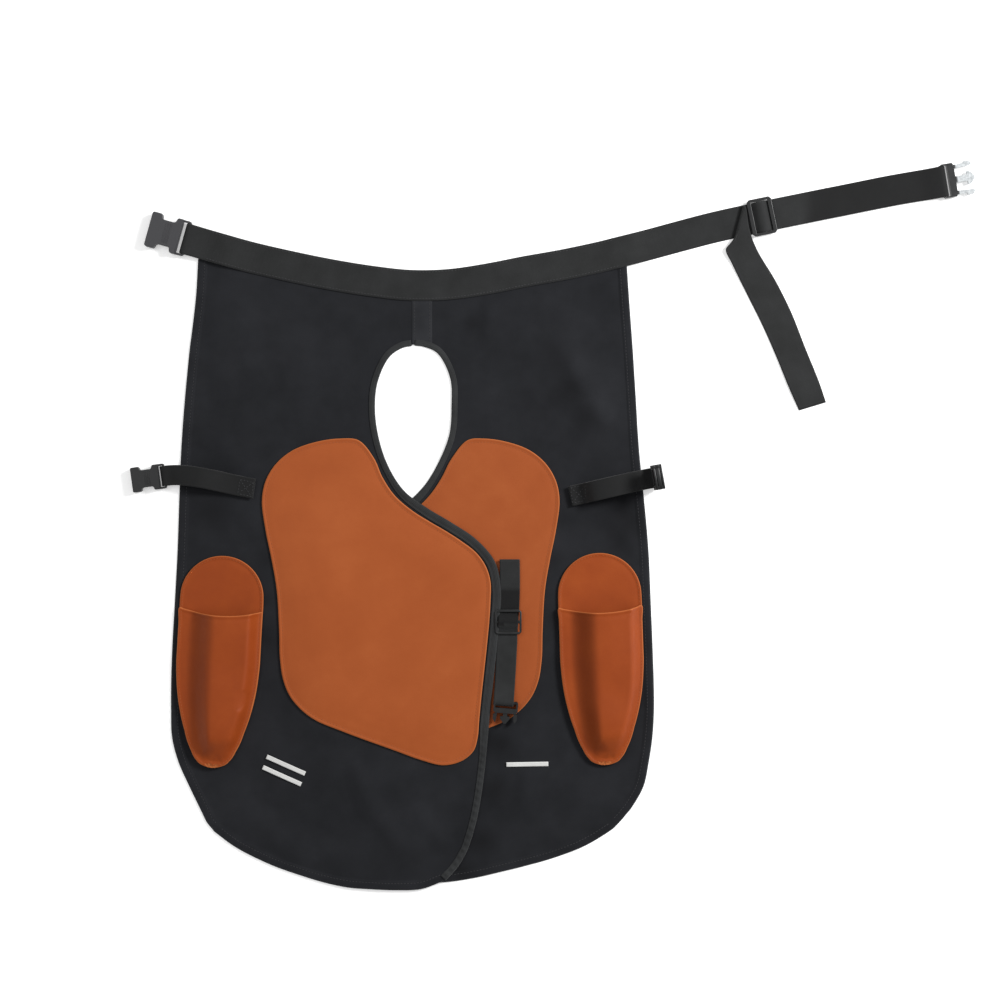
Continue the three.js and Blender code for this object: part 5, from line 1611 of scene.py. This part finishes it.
STITCH_BOXES = {
    "outer_leg_webbing_left": [(239, 477.5), (256, 481), (253.5, 499), (236, 495)],
    "outer_leg_webbing_right": [(568, 486), (586, 483), (588, 502), (571, 505.5)],
}
for title, corners in STITCH_BOXES.items():
    places = [on_apron(*corner) for corner in corners]
    stitch_rows(title + "_box", box_of_stitches(places), top_of([straps[title][0]]), black_thread, "webbing")
tail_end = min((belt_course[0], belt_course[-1]), key=lambda pair: pair.mean(0)[1])
print("belt tail ends at", [round(float(v), 3) for v in tail_end.mean(0)])

# %% [markdown]
# Three short ends of white tape lie on the canvas below the patches. They could be painted on the canvas,
# but they have a thickness that catches the light, so each is a small woven strip of its own.

# %% White tapes
def tape_piece(node, name):
    """A short woven strip over one of the frame's tapes."""
    solid = welded(node)
    corners = np.array([vert.co[:] for vert in solid.verts])
    solid.free()
    centre = corners.mean(0)
    spread = np.linalg.eigh(np.cov((corners - centre)[:, :2].T))[1]
    along, across = spread[:, 1], spread[:, 0]
    run = (corners[:, :2] - centre[:2]) @ along
    side = (corners[:, :2] - centre[:2]) @ across
    stations = np.linspace(run.min(), run.max(), 9)
    underside = height_map(node, from_below=True, step=2 * MM)
    course = []
    for station in stations:
        pair = []
        for edge in (side.min(), side.max()):
            at = centre[:2] + along * station + across * edge
            pair.append([at[0], at[1], float(underside(at[0], at[1])) + 0.45 * MM])
        course.append(pair)
    band, _, _ = ribbon(
        name, np.array(course), 1.5 * MM, 0.8 * MM, white_tape, "white_tape",
        columns=10, rib=1.1 * MM, rib_depth=0.04 * MM,
    )
    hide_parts(node)


for node in ("tape_left_upper", "tape_left_lower", "tape_right"):
    tape_piece(node, node + "_woven")

# %% [markdown]
# The photograph looks straight down from high above. Its camera is a long lens, the floor is plain and
# almost white, and the light is broad and soft, a little stronger from the right. A sun would give hard
# shadows, so two large round lamps and a pale room light the apron.

# %% Camera, floor and light
VIEW_CENTRE = (-0.0774, 0.0432)
VIEW_HEIGHT = 2.868
camera_data = bpy.data.cameras.new("overhead_camera")
camera_data.lens = 85
camera_data.sensor_width = 36
camera = bpy.data.objects.new("overhead_camera", camera_data)
camera.location = (*VIEW_CENTRE, VIEW_HEIGHT)
bpy.context.scene.collection.objects.link(camera)
bpy.context.scene.camera = camera

floor_finish = bpy.data.materials.new("white_floor")
floor_finish.use_nodes = True
floor_shader = floor_finish.node_tree.nodes["Principled BSDF"]
floor_shader.inputs["Base Color"].default_value = (0.92, 0.92, 0.92, 1)
floor_shader.inputs["Roughness"].default_value = 0.9
floor_shader.inputs["Emission Color"].default_value = (1, 1, 1, 1)
floor_shader.inputs["Emission Strength"].default_value = 0.35
FLOOR_REACH = 6.0
floor_corners = [(x * FLOOR_REACH, y * FLOOR_REACH, 0) for x, y in ((-1, -1), (1, -1), (1, 1), (-1, 1))]
floor_mesh = bpy.data.meshes.new("floor")
floor_mesh.from_pydata(floor_corners, [], [(0, 1, 2, 3)])
floor_mesh.materials.append(floor_finish)
floor = bpy.data.objects.new("floor", floor_mesh)
bpy.context.scene.collection.objects.link(floor)


def softbox(name, place, size, power):
    """A round lamp that points at the middle of the apron."""
    light = bpy.data.lights.new(name, "AREA")
    light.shape = "DISK"
    light.size = size
    light.energy = power
    lamp = bpy.data.objects.new(name, light)
    lamp.location = place
    aim = Vector(VIEW_CENTRE + (0.0,)) - Vector(place)
    lamp.rotation_euler = aim.to_track_quat("-Z", "Y").to_euler()
    bpy.context.scene.collection.objects.link(lamp)


softbox("key_softbox", (2.0, 1.1, 1.7), 0.9, 86)
softbox("fill_softbox", (-1.4, 0.8, 2.4), 1.8, 14)
room = bpy.data.worlds.new("pale_room")
room.use_nodes = True
room.node_tree.nodes["Background"].inputs["Color"].default_value = (1, 1, 1, 1)
room.node_tree.nodes["Background"].inputs["Strength"].default_value = 0.45
bpy.context.scene.world = room
bpy.context.scene.view_settings.view_transform = "Standard"
print("camera at", tuple(camera.location))

# %% [markdown]
# Last, the opened-out width of each binding is printed. A belt or a binding is folded, so its flat size is
# its length opened out.


def sheet_area(piece):
    """Area of a closed sheet: half of its surface."""
    return sum(face.area for face in piece.data.polygons) / 2


for way, tape in ((-1, left_binding), (1, right_binding)):
    length = float(length_of(edges[way]["open"]))
    print(tape.name, "opened out is", round(sheet_area(tape) / length, 4), "wide")
